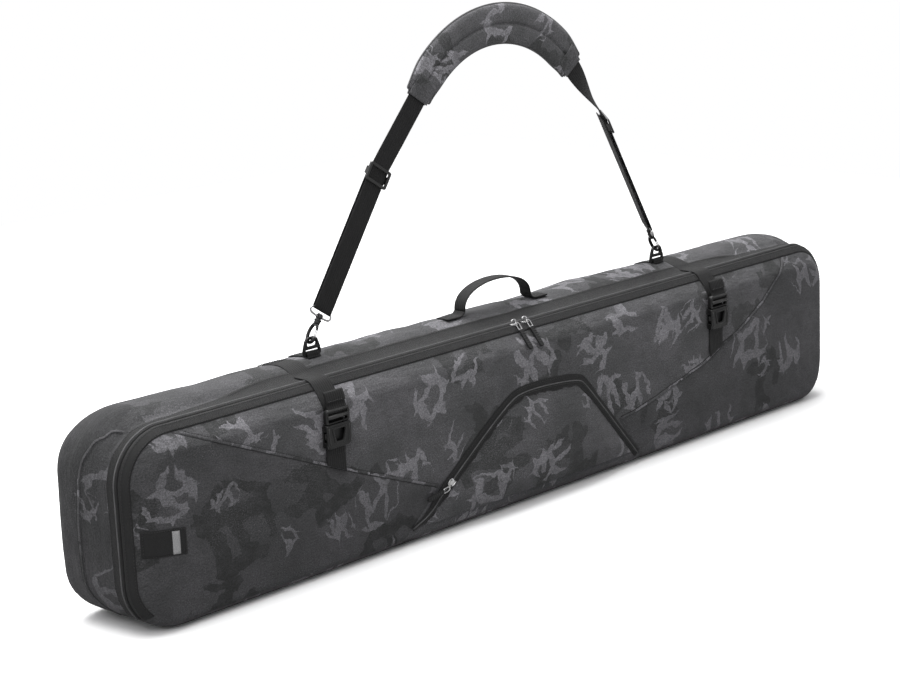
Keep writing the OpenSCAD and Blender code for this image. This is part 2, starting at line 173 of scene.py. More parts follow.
def camo_material(name, tone=1.0, shift=(0.0, 0.0, 0.0)):
    s = Shader(name, **{"Roughness": 0.85, "Specular IOR Level": 0.16, "Sheen Weight": 0.05,
                        "Sheen Roughness": 0.5})
    uv = s.moved(s.uv(), location=shift)

    def drifted(vector, scale, amount):
        """Coordinates pushed about by noise, which bends whatever is drawn on them."""
        push = s.vector("SUBTRACT", s.noise(uv, scale, out=1), (0.5,) * 3)
        return s.vector("ADD", vector, s.vector("SCALE", push, Scale=amount))

    bent = drifted(drifted(uv, 16, 0.050), 75, 0.014)

    def antlers(seed, spacing, reach, fine, width, chance, squeeze=0.5):
        """Scattered clusters of bent fingers: cell borders in a turned frame, kept near the cluster's middle."""
        p = s.moved(bent, location=seed)
        spot = s.add("TexVoronoi", {"voronoi_dimensions": "2D"}, Vector=p, Scale=1 / spacing, Randomness=0.8).node
        local = s.vector("SUBTRACT", p, spot.outputs["Position"])
        dice = s.add("SeparateXYZ", _0=spot.outputs["Color"]).node.outputs
        turned = s.add("VectorRotate", {"rotation_type": "Z_AXIS"}, Vector=local,
                       Angle=s.times(dice[0], 2 * math.pi))
        picked = s.vector("ADD", s.moved(turned, (1, squeeze, 1)), spot.outputs["Color"])
        border = s.add("TexVoronoi", {"voronoi_dimensions": "2D", "feature": "DISTANCE_TO_EDGE"}, Vector=picked,
                       Scale=fine, Randomness=1.0)
        away = s.vector("LENGTH", local, out=1)
        size = s.times(s.ramp(dice[1], 1 - chance, 1.1 - chance), s.ramp(dice[2], 0, 1, reach * 0.7, reach))
        grown = s.math("MINIMUM", s.times(s.math("SUBTRACT", size, away), width / 0.016), width)
        return s.ramp(s.math("SUBTRACT", grown, border), 0.0, 0.03), away

    light, from_light = antlers((0.3, 0.7, 0), 0.125, 0.056, 36, 0.19, 0.72)
    small, _ = antlers((1.9, 0.2, 0), 0.094, 0.034, 52, 0.19, 0.42)
    dark, _ = antlers((2.7, 1.1, 0), 0.19, 0.085, 19, 0.24, 0.8, 0.7)
    cloud = s.noise(uv, 7, 3, 0.6)
    mottle = s.noise(uv, 48, 5, 0.7)
    speckle = s.noise(s.moved(uv, (1, 0.6, 1)), 1300, 2, 0.7)
    grain = s.noise(uv, 360, 3, 0.8)
    color = s.blend(s.ramp(cloud, 0.34, 0.68), grey(0.040 * tone, -0.01, 0.03), grey(0.058 * tone, 0.02, 0.06))
    color = s.blend(s.ramp(mottle, 0.35, 0.7, 0.0, 0.5), color, grey(0.034 * tone, 0.0, 0.02))
    color = s.blend(s.times(dark, s.ramp(mottle, 0.3, 0.6, 0.5, 0.95)), color,
                    grey(0.024 * tone, -0.02, 0.0))
    dust = s.math("MAXIMUM", s.ramp(s.noise(uv, 11, 3, 0.6), 0.5, 0.66), s.ramp(from_light, 0.075, 0.02, 0.0, 0.8))
    spray = s.times(s.ramp(s.noise(uv, 520, 3, 0.7), 0.5, 0.66), dust)
    color = s.blend(s.times(spray, 0.5), color, grey(0.125 * tone, 0.02, 0.06))
    wear_and_painted_highlight = s.ramp(s.noise(uv, 230, 4, 0.8), 0.34, 0.56, 0.35, 1.0)
    tint = s.times(s.ramp(mottle, 0.28, 0.62, 0.45, 1.0), wear_and_painted_highlight)
    color = s.blend(s.times(s.math("MAXIMUM", light, small), tint), color,
                    grey(0.125 * tone, 0.02, 0.07))
    color = s.blend(1.0, color, s.ramp(speckle, 0.25, 0.75, 0.5, 1.5), "MULTIPLY")
    color = s.blend(1.0, color, s.ramp(grain, 0.2, 0.8, 0.5, 1.5), "MULTIPLY")
    s.set(s.bsdf, {"Base Color": color})
    woven = weave_height(s, uv, 0.0016, 0.785)
    rough = s.ramp(grain, 0.2, 0.8, 0.78, 0.95)
    crease = s.bump(mottle, 0.35, 0.004)
    crease = s.bump(s.noise(s.moved(uv, (1, 2.4, 1)), 26, 2, 0.5), 0.30, 0.012, crease)
    crease = s.bump(grain, 0.25, 0.0006, crease)
    s.set(s.bsdf, {"Roughness": rough, "Normal": s.bump(woven, 0.35, 0.0004, crease)})
    return s.mat


def cloth_material(name, tone, rough=0.75, pitch=0.0012, wear=0.25, sheen=0.15, ribs=0.0, blue=0.02):
    """Dark woven strip, webbing or lining. ribs is the depth of rows that run along the strip."""
    s = Shader(name, **{"Roughness": rough, "Specular IOR Level": 0.22, "Sheen Weight": sheen * 0.25})
    uv = s.uv()
    woven = weave_height(s, uv, pitch)
    grain = s.noise(uv, 700, 3, 0.7)
    cloud = s.noise(uv, 35, 3, 0.6)
    color = s.blend(s.ramp(cloud, 0.3, 0.7), grey(tone * (1 - wear), 0, blue), grey(tone * (1 + wear), 0.01, blue))
    color = s.blend(1.0, color, s.ramp(grain, 0.25, 0.75, 0.75, 1.3), "MULTIPLY")
    color = s.blend(1.0, color, s.ramp(woven, -1, 1, 0.8, 1.15), "MULTIPLY")
    normal = s.bump(woven, 0.5, 0.0004)
    if ribs:
        sep = s.add("SeparateXYZ", _0=s.moved(uv, (2 * math.pi / 0.0042, 1, 1)))
        normal = s.bump(s.math("SINE", sep), ribs, 0.0006, normal)
    normal = s.bump(cloud, 0.2, 0.003, normal)
    s.set(s.bsdf, {"Base Color": color, "Roughness": s.ramp(cloud, 0.3, 0.7, rough - 0.08, rough + 0.08),
                   "Normal": normal})
    return s.mat


def plastic_material(name, tone, rough=0.38, grain_scale=900):
    s = Shader(name, **{"Specular IOR Level": 0.28})
    p = s.place()
    grain = s.noise(p, grain_scale, 3, 0.6)
    scuff = s.noise(p, 55, 4, 0.65)
    # painted highlight: convex edges, found by pointiness, are lightened in the colour to stand in for glints on the
    # bevels
    edge = s.add("NewGeometry", out=7)
    wear_and_painted_highlight = s.ramp(edge, 0.53, 0.62, 0.0, 0.6)
    color = s.blend(s.ramp(scuff, 0.35, 0.7), grey(tone, 0, 0.02), grey(tone * 1.5, 0, 0.03))
    color = s.blend(wear_and_painted_highlight, color, grey(tone * 5 + 0.02, 0.0, 0.0))
    s.set(s.bsdf, {"Base Color": color, "Roughness": s.ramp(scuff, 0.3, 0.75, rough - 0.08, rough + 0.16),
                   "Normal": s.bump(grain, 0.25, 0.0003)})
    return s.mat


def metal_material(name, tone, rough=0.25):
    s = Shader(name, **{"Metallic": 1.0})
    p = s.place()
    scratch = s.noise(s.moved(p, (1, 1, 0.12)), 1800, 2, 0.6)
    tarnish = s.noise(p, 160, 3, 0.6)
    color = s.blend(s.ramp(tarnish, 0.35, 0.7), grey(tone, 0.0, 0.02), grey(tone * 0.72, 0.02, -0.02))
    s.set(s.bsdf, {"Base Color": color, "Roughness": s.ramp(tarnish, 0.3, 0.7, rough - 0.07, rough + 0.12),
                   "Normal": s.bump(scratch, 0.15, 0.0002)})
    return s.mat


CAMO = camo_material("camo_centre", 1.5)
CAMO_LEFT = camo_material("camo_left", 1.05, (0.37, 0.91, 0))
CAMO_RIGHT = camo_material("camo_right", 1.15, (1.31, 0.23, 0))
CAMO_CASE = camo_material("camo_case", 1.25, (2.17, 1.53, 0))
CAMO_END = camo_material("camo_end", 0.8, (2.71, 0.83, 0))
CAMO_PAD = camo_material("camo_pad", 2.0, (0.55, 1.87, 0))
CAMO_POCKET = camo_material("camo_pocket", 1.4, (0.87, 2.33, 0))
STRIP = cloth_material("zip_strip", 0.014, 0.6, 0.0010, 0.15, 0.05)
TAPE = cloth_material("zip_tape", 0.010, 0.7, 0.0009, 0.2)
PIPING = cloth_material("piping", 0.085, 0.6, 0.0010, 0.2, 0.1)
WEBBING = cloth_material("webbing", 0.009, 0.65, 0.0018, 0.25, 0.1, ribs=0.3)
HEM = cloth_material("webbing_hem", 0.008, 0.7, 0.0018, 0.2, 0.1, ribs=0.3)
LINING = cloth_material("lining", 0.055, 0.6, 0.0011, 0.2, 0.2, blue=0.10)
FOAM = cloth_material("foam", 0.09, 0.9, 0.0024, 0.2, 0.05)
BINDING = cloth_material("binding", 0.016, 0.8, 0.0012, 0.2, 0.2)
THREAD = cloth_material("thread", 0.075, 0.6, 0.0006, 0.1, 0.3)
THREAD_DARK = cloth_material("thread_dark", 0.022, 0.6, 0.0006, 0.1, 0.3)
PLASTIC = plastic_material("black_plastic", 0.005, 0.3)
RUBBER = plastic_material("pull_rubber", 0.007, 0.6, 500)
NICKEL = metal_material("nickel", 0.5, 0.24)
COIL = plastic_material("zip_coil", 0.006, 0.45)
LABEL = cloth_material("label_cloth", 0.012, 0.7, 0.0009, 0.15, 0.1)
LABEL_LIGHT = cloth_material("label_patch_light", 0.30, 0.7, 0.0009, 0.08, 0.05)

# ---------------------------------------------------------------- surfaces of the bag

back_hi = lo_hi("back_panel")[1]
pad_lo, pad_hi = lo_hi("front_panel_centre")
HALF_L = back_hi.x                      # half length
BAG_H = back_hi.z                       # height at the zip seam
BACK_Y = back_hi.y
FRONT_Y = pad_lo.y                      # face of the front panel
SEAT_Y = pad_hi.y                       # rear edge of the front panel
RIM_Y = lo_hi("top_gusset")[0].y        # front rim of the case
MID_Z = BAG_H / 2
CORNER_R = 80
BEVEL = 36
CROWN_FRONT = -22                       # Y where the top starts to rise
STRAPS = [sum(v.x for v in lo_hi(side + "_strap_upper")) / 2 for side in ("left", "right")]
WALL = 11                               # cloth, foam and lining together
STRAIGHT = HALF_L - CORNER_R
ARC = CORNER_R * math.pi / 2
END = BAG_H - 2 * CORNER_R
TURN = (STRAIGHT, STRAIGHT + ARC, STRAIGHT + ARC + END, STRAIGHT + 2 * ARC + END)
HALF_RING = TURN[3] + STRAIGHT
FRONTWARD, UP = Vector((0, -1, 0)), Vector((0, 0, 1))


def column(s):
    """Place on the outline, s mm from the top's middle: towards -X if s > 0. Gives a, b, nx, nz."""
    side = -1 if s > 0 else 1
    s = abs(s)
    if s < TURN[0]:
        return side * s / STRAIGHT, 1, 0, 1
    if s < TURN[1]:
        t = (s - TURN[0]) / CORNER_R
        return side, 1, side * math.sin(t), math.cos(t)
    if s < TURN[2]:
        return side, 1 - 2 * (s - TURN[1]) / END, side, 0
    if s < TURN[3]:
        t = (s - TURN[2]) / CORNER_R
        return side, -1, side * math.cos(t), -math.sin(t)
    return side * max(HALF_RING - s, 0) / STRAIGHT, -1, 0, -1


def outline(col, d):
    """X and Z of the outline moved in by d."""
    a, b, nx, nz = col
    m = max(CORNER_R, d)
    r = max(CORNER_R - d, 0)
    return a * (HALF_L - m) + nx * r, MID_Z + b * (BAG_H / 2 - m) + nz * r


def rim_point(s, d, y, low=-1e9):
    x, z = outline(column(s), d)
    return Vector((x, y, max(z, low)))


def crown(y):
    """Rise of the soft top, as the CAD has it."""
    t = (y - CROWN_FRONT) / (BACK_Y - 2 - CROWN_FRONT)
    return 16 * math.sin(math.pi * t ** 0.7) if 0 < t < 1 else 0.0


def ripple(x, y, z, size, depth, seed=0.0):
    return depth * noise.noise(Vector((x / size + seed, y / size, z / size)))


def hump(x, width, power=2):
    """1 at x = 0, falling off to 0 past width."""
    return math.exp(-(x / width) ** power)


def case_point(s, y, d=0.0, depth=0.0):
    """A point on the case's outside, or depth mm under it."""
    col = column(s)
    a, b, nx, nz = col
    x, z = outline(col, max(d, 0) + depth)
    top, end = max(nz, 0) ** 1.6, nx * nx
    bulge = (mix(9, 15, z / BAG_H) if a < 0 else 9) * smooth(RIM_Y - 4, 56, y)
    out = crown(y) * top + bulge * end - min(d, 0)
    if depth < 1 and d < 60:
        free = smooth(CROWN_FRONT - 4, CROWN_FRONT + 22, y)
        lift = free * (0.35 + 0.65 * max(top, end)) * (nz > -0.5)
        out += lift * (ripple(x, y, z, 120, 4.2) + ripple(x, y * 1.6, z, 47, 1.8, 5.3))
        # puckers where the side panels meet the zip at the corners
        near = hump(abs(s) - TURN[0] - 40, 60) * hump(y + 8, 26)
        out -= near * (2.2 + 2.4 * math.sin(abs(s) / 7.0 + y / 5.0))
        for strap in STRAPS:
            out -= 1.6 * hump(x - strap, 26, 4) * top * free
    return Vector((x + nx * out, y, z + nz * out))


def seam_distance(x, z, line):
    best = 1e9
    for (x0, z0), (x1, z1) in zip(line, line[1:]):
        dx, dz = x1 - x0, z1 - z0
        t = min(max(((x - x0) * dx + (z - z0) * dz) / (dx * dx + dz * dz), 0), 1)
        best = min(best, math.hypot(x - x0 - t * dx, z - z0 - t * dz))
    return best


SEAM_L = [(-330, 0), (-232, 80), (-424, 156), (-704, 274), (-860, 340)]
SEAM_R = [(270, 0), (208, 92), (317, 116), (457, 151), (533, 183), (610, 222), (690, 280), (760, 340)]
SEAMS = (SEAM_L, SEAM_R)
POCKET = [(-342, 0), (-232, 80), (-78, 192), (-30, 207), (105, 198), (130, 180), (262, 24), (276, 0)]


def nearest_seam(x, z):
    return min(seam_distance(x, z, line) for line in SEAMS)


def inset_of(x, z):
    """How far (x, z) is inside the front outline, and the way out there (nx, nz)."""
    px, pz = abs(x) - STRAIGHT, abs(z - MID_Z) - (BAG_H / 2 - CORNER_R)
    if px > 0 and pz > 0:
        r = math.hypot(px, pz)
        return CORNER_R - r, (px / r) * (1 if x > 0 else -1), (pz / r) * (1 if z > MID_Z else -1)
    if px > pz:
        return CORNER_R - px, (1 if x > 0 else -1), 0
    return CORNER_R - pz, 0, (1 if z > MID_Z else -1)


def pocket_depth(x, z):
    """Distance inside the pocket's outline; negative outside."""
    return min(((x - x0) * (z1 - z0) - (z - z0) * (x1 - x0)) / math.hypot(x1 - x0, z1 - z0)
               for (x0, z0), (x1, z1) in zip(POCKET, POCKET[1:]))


def front_y(x, z, seams=True, nz=None):
    """Y of the front panel's outside."""
    d, _, own_nz = inset_of(x, z)
    nz = own_nz if nz is None else nz
    low = max(-nz, 0) ** 2
    width = mix(BEVEL, 22, low)
    u = min(max(d / width, 0), 1)
    profile = mix(0.5 * u + 0.5 * math.sin(math.pi / 2 * u), math.sqrt(max(1 - (1 - u) ** 2, 0)), low)
    y = SEAT_Y + (FRONT_Y - SEAT_Y) * profile
    inner = smooth(width * 0.8, 105, d)
    away = 1 - smooth(-45, 5, pocket_depth(x, z))
    strap = max(hump(x - c, 34, 4) for c in STRAPS) * smooth(125, 175, z)
    bulge = 6.0 * inner * away * (1 - strap) + 1.2 * strap * inner
    waves = ripple(x, z, 0, 170, 3.4, 9.1) + ripple(x, z * 1.3, 0, 62, 1.5, 2.7)
    bulge += inner * away * (1 - strap) * waves
    if seams:
        near = nearest_seam(x, z)
        bulge -= 1.7 * hump(near, 4.5) + 1.8 * hump(near, 22) * inner
        bulge += hump(near, 16) * ripple(x, z, 0, 14, 1.1, 4.2) * away
    return y - bulge


def front_point(s, d, depth=0.0):
    x, z = outline(column(s), min(d + depth * 0.6, MID_Z))
    return Vector((x, front_y(x, z, seams=depth < 1, nz=column(s)[3]) + depth, z))


# ---------------------------------------------------------------- mesh building


def fit(obj, body, slot, *replaced):
    if isinstance(body, str):
        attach(obj, body)
    else:
        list(body)
        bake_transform(obj)
    if replaced:
        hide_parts(*replaced)
    return obj


def add_object(name, data):
    obj = bpy.data.objects.new(name, data)
    scene.collection.objects.link(obj)
    return obj


def make(name, verts, faces, material, uvs=None, weld=0.0, outward=False):
    """Object from points in millimetres. uvs holds one (u, v) per point, in metres, or is taken from X and Z.
    weld joins points that close, and outward turns all faces the same way."""
    mesh = bpy.data.meshes.new(name)
    mesh.from_pydata([tuple(c * MM for c in v) for v in verts], [], faces)
    uvs = uvs or [(p.x * MM, p.z * MM) for p in verts]
    layer = mesh.uv_layers.new(name="UVMap")
    for loop in mesh.loops:
        layer.data[loop.index].uv = uvs[loop.vertex_index]
    mesh.materials.append(material)
    mesh.validate()
    bm = bmesh.new()
    bm.from_mesh(mesh)
    if weld:
        bmesh.ops.remove_doubles(bm, verts=bm.verts, dist=weld * MM)
    if outward:
        bmesh.ops.recalc_face_normals(bm, faces=bm.faces)
    for face in bm.faces:
        face.smooth = True
    bm.to_mesh(mesh)
    bm.free()
    return add_object(name, mesh)


def grid_faces(rows, cols):
    return [(i * cols + j, i * cols + j + 1, (i + 1) * cols + j + 1, (i + 1) * cols + j)
            for i in range(rows - 1) for j in range(cols - 1)]


def tube_faces(n, m, closed=False):
    """Quads between n rings of m points, with caps unless the last ring meets the first."""
    faces = [(i * m + k, i * m + (k + 1) % m, (i + 1) % n * m + (k + 1) % m, (i + 1) % n * m + k)
             for i in range(n if closed else n - 1) for k in range(m)]
    return faces if closed else faces + [tuple(range(m))[::-1], tuple(range((n - 1) * m, n * m))]


def grid(name, rows, material, us=None, vs=None, **how):
    """Surface through rows of points. us and vs are the lengths across and along, in millimetres."""
    uvs = us and [(u * MM, v * MM) for v in vs for u in us]
    return make(name, [p for row in rows for p in row], grid_faces(len(rows), len(rows[0])), material, uvs, **how)


def lengths(points):
    out = [0.0]
    for a, b in zip(points, points[1:]):
        out.append(out[-1] + math.dist(a, b))
    return out


def along_line(points, wants):
    """Points of a polyline at the given distances, each with the number of its segment."""
    run, k = lengths(points), 0
    for want in wants:
        while k < len(run) - 2 and run[k + 1] < want:
            k += 1
        yield points[k].lerp(points[k + 1], (want - run[k]) / max(run[k + 1] - run[k], 1e-9)), k


def resample(points, step):
    """The same polyline with points about step apart."""
    total = lengths(points)[-1]
    n = max(2, int(round(total / step)) + 1)
    return [p for p, _ in along_line(points, [total * i / (n - 1) for i in range(n)])]


def rounded(points, passes=2):
    """Corner-cut polyline with its ends kept."""
    points = [Vector(p) for p in points]
    for _ in range(passes):
        cut = [p for a, b in zip(points, points[1:]) for p in (a.lerp(b, 0.25), a.lerp(b, 0.75))]
        points = [points[0], *cut, points[-1]]
    return points


def section_box(width, thick, edge, splits=5):
    """Flat section with rounded edges, counterclockwise, as (across, out)."""
    w, t = width / 2, thick / 2
    e = min(edge, t * 0.98)
    pts = []
    for cx, cy, start in ((w - e, e - t, -90), (w - e, t - e, 0), (e - w, t - e, 90), (e - w, e - t, 180)):
        for k in (0, 45, 90):
            a = math.radians(start + k)
            pts.append((cx + e * math.cos(a), cy + e * math.sin(a)))
        if start in (0, 180):
            sign = 1 if start == 0 else -1
            pts += [(sign * (w - e) * (1 - 2 * k / splits), sign * t) for k in range(1, splits)]
    return pts


def directions(path, closed=False):
    """The way along a path at each of its points."""
    n = len(path)
    if closed:
        return [(path[(i + 1) % n] - path[i - 1]).normalized() for i in range(n)]
    return [(path[min(i + 1, n - 1)] - path[max(i - 1, 0)]).normalized() for i in range(n)]


def sweep(name, path, outs, section, material, closed=False, scale=None):
    """Section swept along path, its first axis across. outs holds the outward directions, or one for all."""
    outs = [outs] * len(path) if isinstance(outs, Vector) else outs
    around = lengths(section)
    verts, uvs = [], []
    for i, (p, along, out, run) in enumerate(zip(path, directions(path, closed), outs, lengths(path))):
        out = (out - along * out.dot(along)).normalized()
        across = along.cross(out)
        size = scale(i / (len(path) - 1)) if scale else 1
        for k, (u, v) in enumerate(section):
            verts.append(p + across * u * size + out * v)
            uvs.append((around[k] * MM, run * MM))
    return make(name, verts, tube_faces(len(path), len(section), closed), material, uvs, outward=True)


def tube(name, path, r, material, closed=False, sides=8):
    """Round rod along a path, with frames carried along it."""
    out, outs = UP, []
    for along in directions(path, closed):
        side = out - along * out.dot(along)
        out = (side if side.length >= 1e-3 else along.orthogonal()).normalized()
        outs.append(out)
    turns = [2 * math.pi * k / sides for k in range(sides)]
    return sweep(name, path, outs, [(r * math.cos(a), r * math.sin(a)) for a in turns], material, closed)


def sew(name, body, slot, rows, material=THREAD_DARK, length=3.4, gap=1.8, r=0.42):
    """A piece made of rows of thread stitches. Each row is (points, outward directions or one for all)."""
    verts, faces = [], []
    for points, outs in rows:
        count = int(lengths(points)[-1] / (length + gap))
        wants = [i * (length + gap) + w for i in range(count) for w in (0, length)]
        ends = list(along_line(points, wants))
        for (a, k), (b, _) in zip(ends[::2], ends[1::2]):
            along = (b - a).normalized()
            out = outs if isinstance(outs, Vector) else outs[k]
            out = (out - along * out.dot(along)).normalized()
            side = along.cross(out)
            faces += [tuple(len(verts) + v for v in face) for face in tube_faces(4, 5)]
            for t, grow, lift in ((0.0, 0.35, -0.5), (0.3, 1.0, 0.5), (0.7, 1.0, 0.5), (1.0, 0.35, -0.5)):
                c = a.lerp(b, t) + out * r * lift
                turns = [2 * math.pi * q / 5 for q in range(5)]
                verts += [c + (side * math.cos(w) + out * math.sin(w)) * r * grow for w in turns]
    uvs = [((v.x + v.y) * MM, (v.z + v.y) * MM) for v in verts]
    return fit(make(name, verts, faces, material, uvs), body, slot)


def join(name, parts):
    """Several objects made into the first one."""
    base = parts[0]
    bm = bmesh.new()
    mats = []
    for part in parts:
        start = len(bm.faces)
        bm.from_mesh(part.data)
        bm.faces.ensure_lookup_table()
        mats += [m for m in part.data.materials if m not in mats]
        for face in bm.faces[start:]:
            face.material_index = mats.index(part.data.materials[face.material_index])
    base.data.materials.clear()
    for m in mats:
        base.data.materials.append(m)
    bm.to_mesh(base.data)
    bm.free()
    for part in parts[1:]:
        bpy.data.objects.remove(part)
    base.name = name
    return base


# ---------------------------------------------------------------- case


def spread(a, b, step):
    n = max(1, int(round(abs(b - a) / step)))
    return [a + (b - a) * i / n for i in range(n + 1)]


def ring_stations(limit=HALF_RING):
    marks = [0, *TURN, HALF_RING]
    out = []
    for a, b in zip(marks, marks[1:]):
        a, b = min(a, limit), min(b, limit)
        if b > a:
            out += spread(a, b, 10 if b <= TURN[0] or a >= TURN[3] else 7)[(1 if out else 0):]
    return [-s for s in out[:0:-1]] + out


ROUND = 22                              # radius of the case's back edge
SIDE_ROWS = [(RIM_Y, 6.0), (RIM_Y, 1.2), (RIM_Y + 1, 0.0)]  # rows of (Y, distance in from the outline)
SIDE_ROWS += [(y, 0.0) for y in spread(RIM_Y + 5, BACK_Y - ROUND, 5)]
SIDE_ROWS += [(BACK_Y - ROUND + ROUND * math.sin(math.radians(a)), ROUND * (1 - math.cos(math.radians(a))))
              for a in range(15, 91, 15)]
CASE_S = ring_stations()
EPS = 0.01                              # slack when stations are compared


def case_rows(stations, rows, depth=0.0):
    return [[case_point(s, y, d, depth) for s in stations] for y, d in rows]


for name, node, a, b, material in (("top_panel", "top_gusset", -TURN[0], TURN[0], CAMO_CASE),
                                   ("left_end_panel", "left_end_gusset", TURN[0], TURN[3], CAMO_END),
                                   ("right_end_panel", "right_end_gusset", -TURN[3], -TURN[0], CAMO_END)):
    stations = [s for s in CASE_S if a - EPS <= s <= b + EPS]
    panel = grid(name, case_rows(stations, SIDE_ROWS), material, stations, lengths(SIDE_ROWS))
    fit(panel, "case", "camo_cloth", node)


def back_y(x, z, d):
    return BACK_Y + 4.5 * smooth(ROUND, 105, d) + smooth(ROUND, 70, d) * (
        ripple(x, 0, z, 210, 3.0, 7.7) + ripple(x, 0, z, 75, 1.2, 3.3))


def back_sheet(name, last_row, material, depth=0.0):
    """The back, from the side's last row inward."""
    inset = last_row[1] + depth
    edge = case_rows(CASE_S, [last_row], depth)[0]
    rows = []
    for d in spread(inset, 150, 6):
        keep = 1 - smooth(inset, inset + 55, d)
        row = []
        for s, start in zip(CASE_S, edge):
            x0, z0 = outline(column(s), inset)
            x, z = outline(column(s), d)
            x, z = x + (start.x - x0) * keep, z + (start.z - z0) * keep
            row.append(Vector((x, back_y(x, z, d - depth) - depth + (start.y - BACK_Y + depth) * keep, z)))
        rows.append(row)
    return grid(name, rows, material, weld=0.4)


fit(back_sheet("back_cloth", SIDE_ROWS[-1], CAMO), "case", "camo_cloth", "back_panel")

stations = [s for s in CASE_S if s >= TURN[3] - EPS] + [s + 2 * HALF_RING for s in CASE_S if s <= EPS - TURN[3]]
rows = case_rows([s if s <= HALF_RING else s - 2 * HALF_RING for s in stations], SIDE_ROWS)
bottom_parts = [grid("bottom_panel", rows, CAMO_CASE, stations, lengths(SIDE_ROWS))]

# ---------------------------------------------------------------- front panel


def in_polygon(x, z, line):
    inside = False
    for (x0, z0), (x1, z1) in zip(line, line[1:] + line[:1]):
        if (z0 > z) != (z1 > z) and x < (x1 - x0) * (z - z0) / (z1 - z0) + x0:
            inside = not inside
    return inside


ZONE_L = SEAM_L + [(-900, 340), (-900, -10), (-330, -10)]
ZONE_R = SEAM_R + [(900, 340), (900, -10), (270, -10)]
LIP_Z = 12                              # the bottom's cloth reaches up the front to here
LINING_Z = 24
FRONT_D = [0, 1.5, 4, 7, 10, 14, 18, 22, 26, 31, 36, 42] + spread(49, 150, 6.5)


def zone(x, z):
    return "left" if in_polygon(x, z, ZONE_L) else "right" if in_polygon(x, z, ZONE_R) else "centre"


def point_grid(rows):
    """A bmesh of quads through rows of points."""
    bm = bmesh.new()
    cells = [[bm.verts.new(p) for p in row] for row in rows]
    for a, b in zip(cells, cells[1:]):
        for quad in zip(a, a[1:], b[1:], b):
            bm.faces.new(quad)
    return bm


def middle(face):
    centre = face.calc_center_median()
    return centre.x, centre.z


def front_sheet(depth, seams, low):
    """The front panel's surface as a bmesh in millimetres, cut at the height low and along the seams."""
    bm = point_grid([[front_point(s, d, depth) for s in CASE_S] for d in FRONT_D])
    bmesh.ops.remove_doubles(bm, verts=bm.verts, dist=0.4)
    cuts = [(Vector((0, 0, low)), UP, False)]
    for line in SEAMS if seams else ():
        for (x0, z0), (x1, z1) in zip(line, line[1:]):
            n = Vector((z1 - z0, 0, x0 - x1)).normalized()
            cuts += [(Vector((x0, 0, z0)) + n * off, n, True) for off in (-9, -4, 0, 4, 9)]
    for co, no, near in cuts:
        faces = [f for f in bm.faces if nearest_seam(*middle(f)) < 26] if near else bm.faces[:]
        geom = [*faces, *dict.fromkeys(e for f in faces for e in f.edges), *dict.fromkeys(
            v for f in faces for v in f.verts)]
        bmesh.ops.bisect_plane(bm, geom=geom, plane_co=co, plane_no=no, dist=0.05)
    for v in bm.verts:
        if inset_of(v.co.x, v.co.z)[0] > 0.05:
            v.co.y = front_y(v.co.x, v.co.z, seams=seams) + depth
    return bm


def take(bm, name, keep, material):
    """The faces of bm whose centre passes keep(x, z), as an object."""
    copy = bm.copy()
    bmesh.ops.delete(copy, geom=[f for f in copy.faces if not keep(*middle(f))], context="FACES")
    layer = copy.loops.layers.uv.new("UVMap")
    for face in copy.faces:
        face.smooth = True
        for loop in face.loops:
            co = loop.vert.co
            loop[layer].uv = (co.x * MM, (co.z + 0.35 * (co.y - FRONT_Y)) * MM)
    for v in copy.verts:
        v.co *= MM
    bmesh.ops.recalc_face_normals(copy, faces=copy.faces)
    mesh = bpy.data.meshes.new(name)
    copy.to_mesh(mesh)
    copy.free()
    mesh.materials.append(material)
    return add_object(name, mesh)


HINGE_Y = -0.0825
FOLD = ("case", "front", (0, HINGE_Y, 0.013), (0, HINGE_Y, 0.042))
sheet = front_sheet(0.0, True, LIP_Z)
for side, material in (("centre", CAMO), ("left", CAMO_LEFT), ("right", CAMO_RIGHT)):
    part = take(sheet, "front_cloth_" + side, lambda x, z: z > LIP_Z and zone(x, z) == side, material)
    fit(part, FOLD, "camo_cloth", "front_panel_" + side)
bottom_parts.append(take(sheet, "bottom_lip", lambda x, z: z < LIP_Z, CAMO_CASE))
sheet.free()
fit(join("bottom_panel", bottom_parts), "case", "camo_cloth", "bottom_gusset")

# ---------------------------------------------------------------- zip bands

ZIP_END_Z = lo_hi("zip_outer_strip")[0].z
ZIP_S = ring_stations(TURN[2] + CORNER_R * math.asin((CORNER_R - ZIP_END_Z) / CORNER_R))


def top_width(s):
    """The outer strip is widest along the top and narrows round the corners."""
    return mix(1.22, 0.62, smooth(TURN[0] - 260, TURN[0] + 20, abs(s)))


def side_run(y, lift, wide=None):
    """Points and outsides along the zip, on the case at Y = y or its widened place."""
    places = [RIM_Y + 1 + (y - RIM_Y - 1) * wide(s) if wide else y for s in ZIP_S]
    outs = [Vector((column(s)[2], 0, column(s)[3])) for s in ZIP_S]
    return [case_point(s, place) + n * lift for s, place, n in zip(ZIP_S, places, outs)], outs


def face_run(d, lift):
    """Points and outsides along the zip, on the front panel d mm in from the rim."""
    outs = [Vector((column(s)[2], -1.2 if d > 0.5 else -0.4, column(s)[3])).normalized() for s in ZIP_S]
    return [front_point(s, d) + n * lift for s, n in zip(ZIP_S, outs)], outs


def band(name, run, profile, **how):
    """Strip along the zip. profile holds (place, height) for the points that run(place, height) gives."""
    rows = [run(place, height, **how)[0] for place, height in profile]
    return grid(name, rows, STRIP, ZIP_S, lengths([row[len(ZIP_S) // 2] for row in rows]), outward=True)


